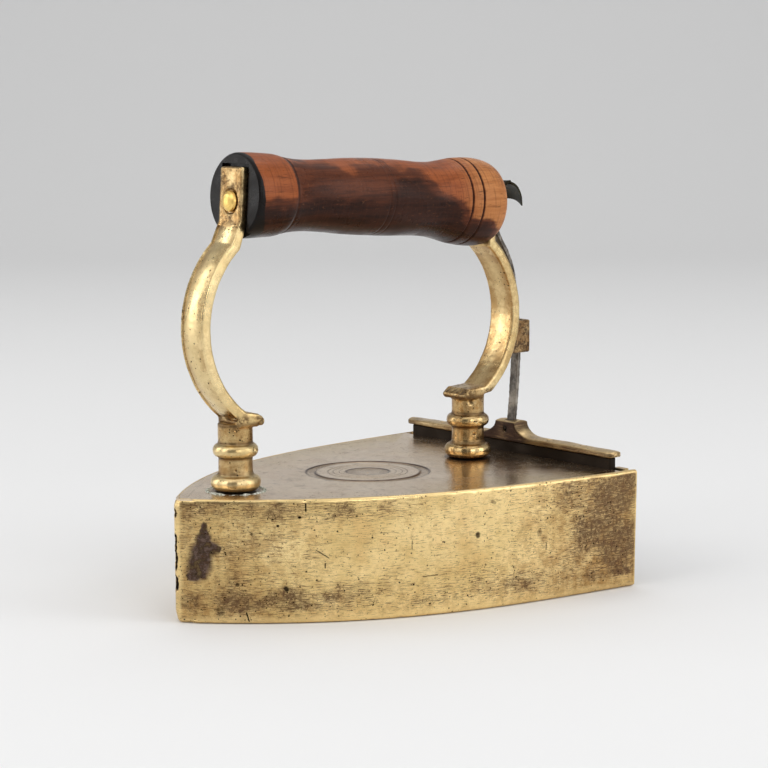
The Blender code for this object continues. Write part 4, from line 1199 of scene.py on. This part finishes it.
def grip():
    steps = 160
    tilt = GRIP_DIRECTION.to_track_quat("Z", "Y").to_matrix().to_4x4()
    to_world = Matrix.Translation(GRIP_FRONT) @ tilt
    bm = bmesh.new()
    rings = []
    rows = [(0.35, 0.0), (0.7, 0.0)] + [(1.0, along) for along in grip_rows()]
    rows += [(0.7, GRIP_LENGTH), (0.35, GRIP_LENGTH)]
    for shrunk, along in rows:
        radius = grip_radius(along) * shrunk
        share = 2 * along / GRIP_LENGTH - 1
        arch = GRIP_ARCH * (1 - share * share)
        ring = []
        for i in range(steps):
            angle = 2 * pi * i / steps
            wobble = 1 + 0.004 * noise.noise(Vector((cos(angle) * 2, sin(angle) * 2, along * 60)))
            ring.append(bm.verts.new(to_world @ Vector((radius * wobble * cos(angle),
                                                        radius * wobble * sin(angle) + arch, along))))
        rings.append(ring)
    bridge(bm, rings)
    bm.faces.new(rings[0])
    bm.faces.new(rings[-1])
    piece = add_piece("turned_grip", bm, GRIP_WOOD, "iron_body", "grip_wood", "handle_grip")
    for along, side in ((0.0, -1), (GRIP_LENGTH, 1)):
        carve(piece, slot_cutter(along, side))
    carve(piece, bore_cutter())
    painted(piece.data, [grip_paint(vert.co) for vert in piece.data.vertices])
    keep_smooth(piece.data)
    return piece


def slot_cutter(along, side):
    """Room for a bracket's ear, a little wider than the ear, in an end of the grip."""
    past = 0.02
    bm = bmesh.new()
    bmesh.ops.create_cube(bm, size=1.0)
    bmesh.ops.scale(bm, vec=(2 * SLOT_HALF, past + SLOT_DEPTH, past + SLOT_TOP), verts=bm.verts)
    bmesh.ops.translate(bm, vec=(0, side * (past - SLOT_DEPTH) / 2, (SLOT_TOP - past) / 2), verts=bm.verts)
    where = Matrix.Translation(GRIP_FRONT + GRIP_DIRECTION * along) @ Matrix.Rotation(-GRIP_FALL, 4, "X")
    bmesh.ops.transform(bm, matrix=where, verts=bm.verts)
    return bm


def bore_cutter():
    """The bore of the handle rod."""
    low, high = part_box("handle_rod")
    radius = (high[0] - low[0]) / 2 + GAP
    bm = bmesh.new()
    bmesh.ops.create_cone(bm, cap_ends=True, segments=32, radius1=radius, radius2=radius,
                          depth=2 * GRIP_LENGTH)
    turn = GRIP_DIRECTION.to_track_quat("Z", "Y").to_matrix().to_4x4()
    middle = GRIP_FRONT + GRIP_DIRECTION * (GRIP_LENGTH / 2) - GRIP_UP * ROD_DROP
    bmesh.ops.transform(bm, matrix=Matrix.Translation(middle) @ turn, verts=bm.verts)
    return bm


def carve(piece, bm):
    """Takes a bmesh away from a piece."""
    mesh = bpy.data.meshes.new("cutter")
    bm.to_mesh(mesh)
    bm.free()
    mesh.materials.append(GRIP_WOOD)
    cutter = placed("cutter", mesh)
    step = piece.modifiers.new("Carve", "BOOLEAN")
    step.operation = "DIFFERENCE"
    step.object = cutter
    applied(piece)
    bpy.data.objects.remove(cutter)


grip()


# Parts that keep their CAD shape ----------------------------------------------------------

CARRIED_OVER = {
    "sole_plate": SHELL_BRASS, "gate_guide_left": SHELL_BRASS, "gate_guide_right": SHELL_BRASS,
    "slug_rail_left": GATE_IRON_AND_SHADE, "slug_rail_right": GATE_IRON_AND_SHADE, "heating_slug": SLUG_IRON,
    "front_post_washer": ROD_IRON, "rear_post_washer": ROD_IRON, "handle_rod": ROD_IRON,
    "front_button": BUTTON_BRASS, "rear_button": BUTTON_BRASS, "gate_plate": GATE_IRON_AND_SHADE,
    "gate_pin_1": CAP_BRASS, "gate_pin_2": CAP_BRASS, "gate_pin_3": CAP_BRASS, "gate_pin_4": CAP_BRASS,
    # The foot pin is near black, so that it disappears into the painted shade on the cap's front
    "rod_foot_pin": GATE_IRON_AND_SHADE, "thumb_rivet": ROD_IRON,
}
for node_name, finish in CARRIED_OVER.items():
    slots = NODES[node_name].data.materials
    slots.clear()
    slots.append(finish)
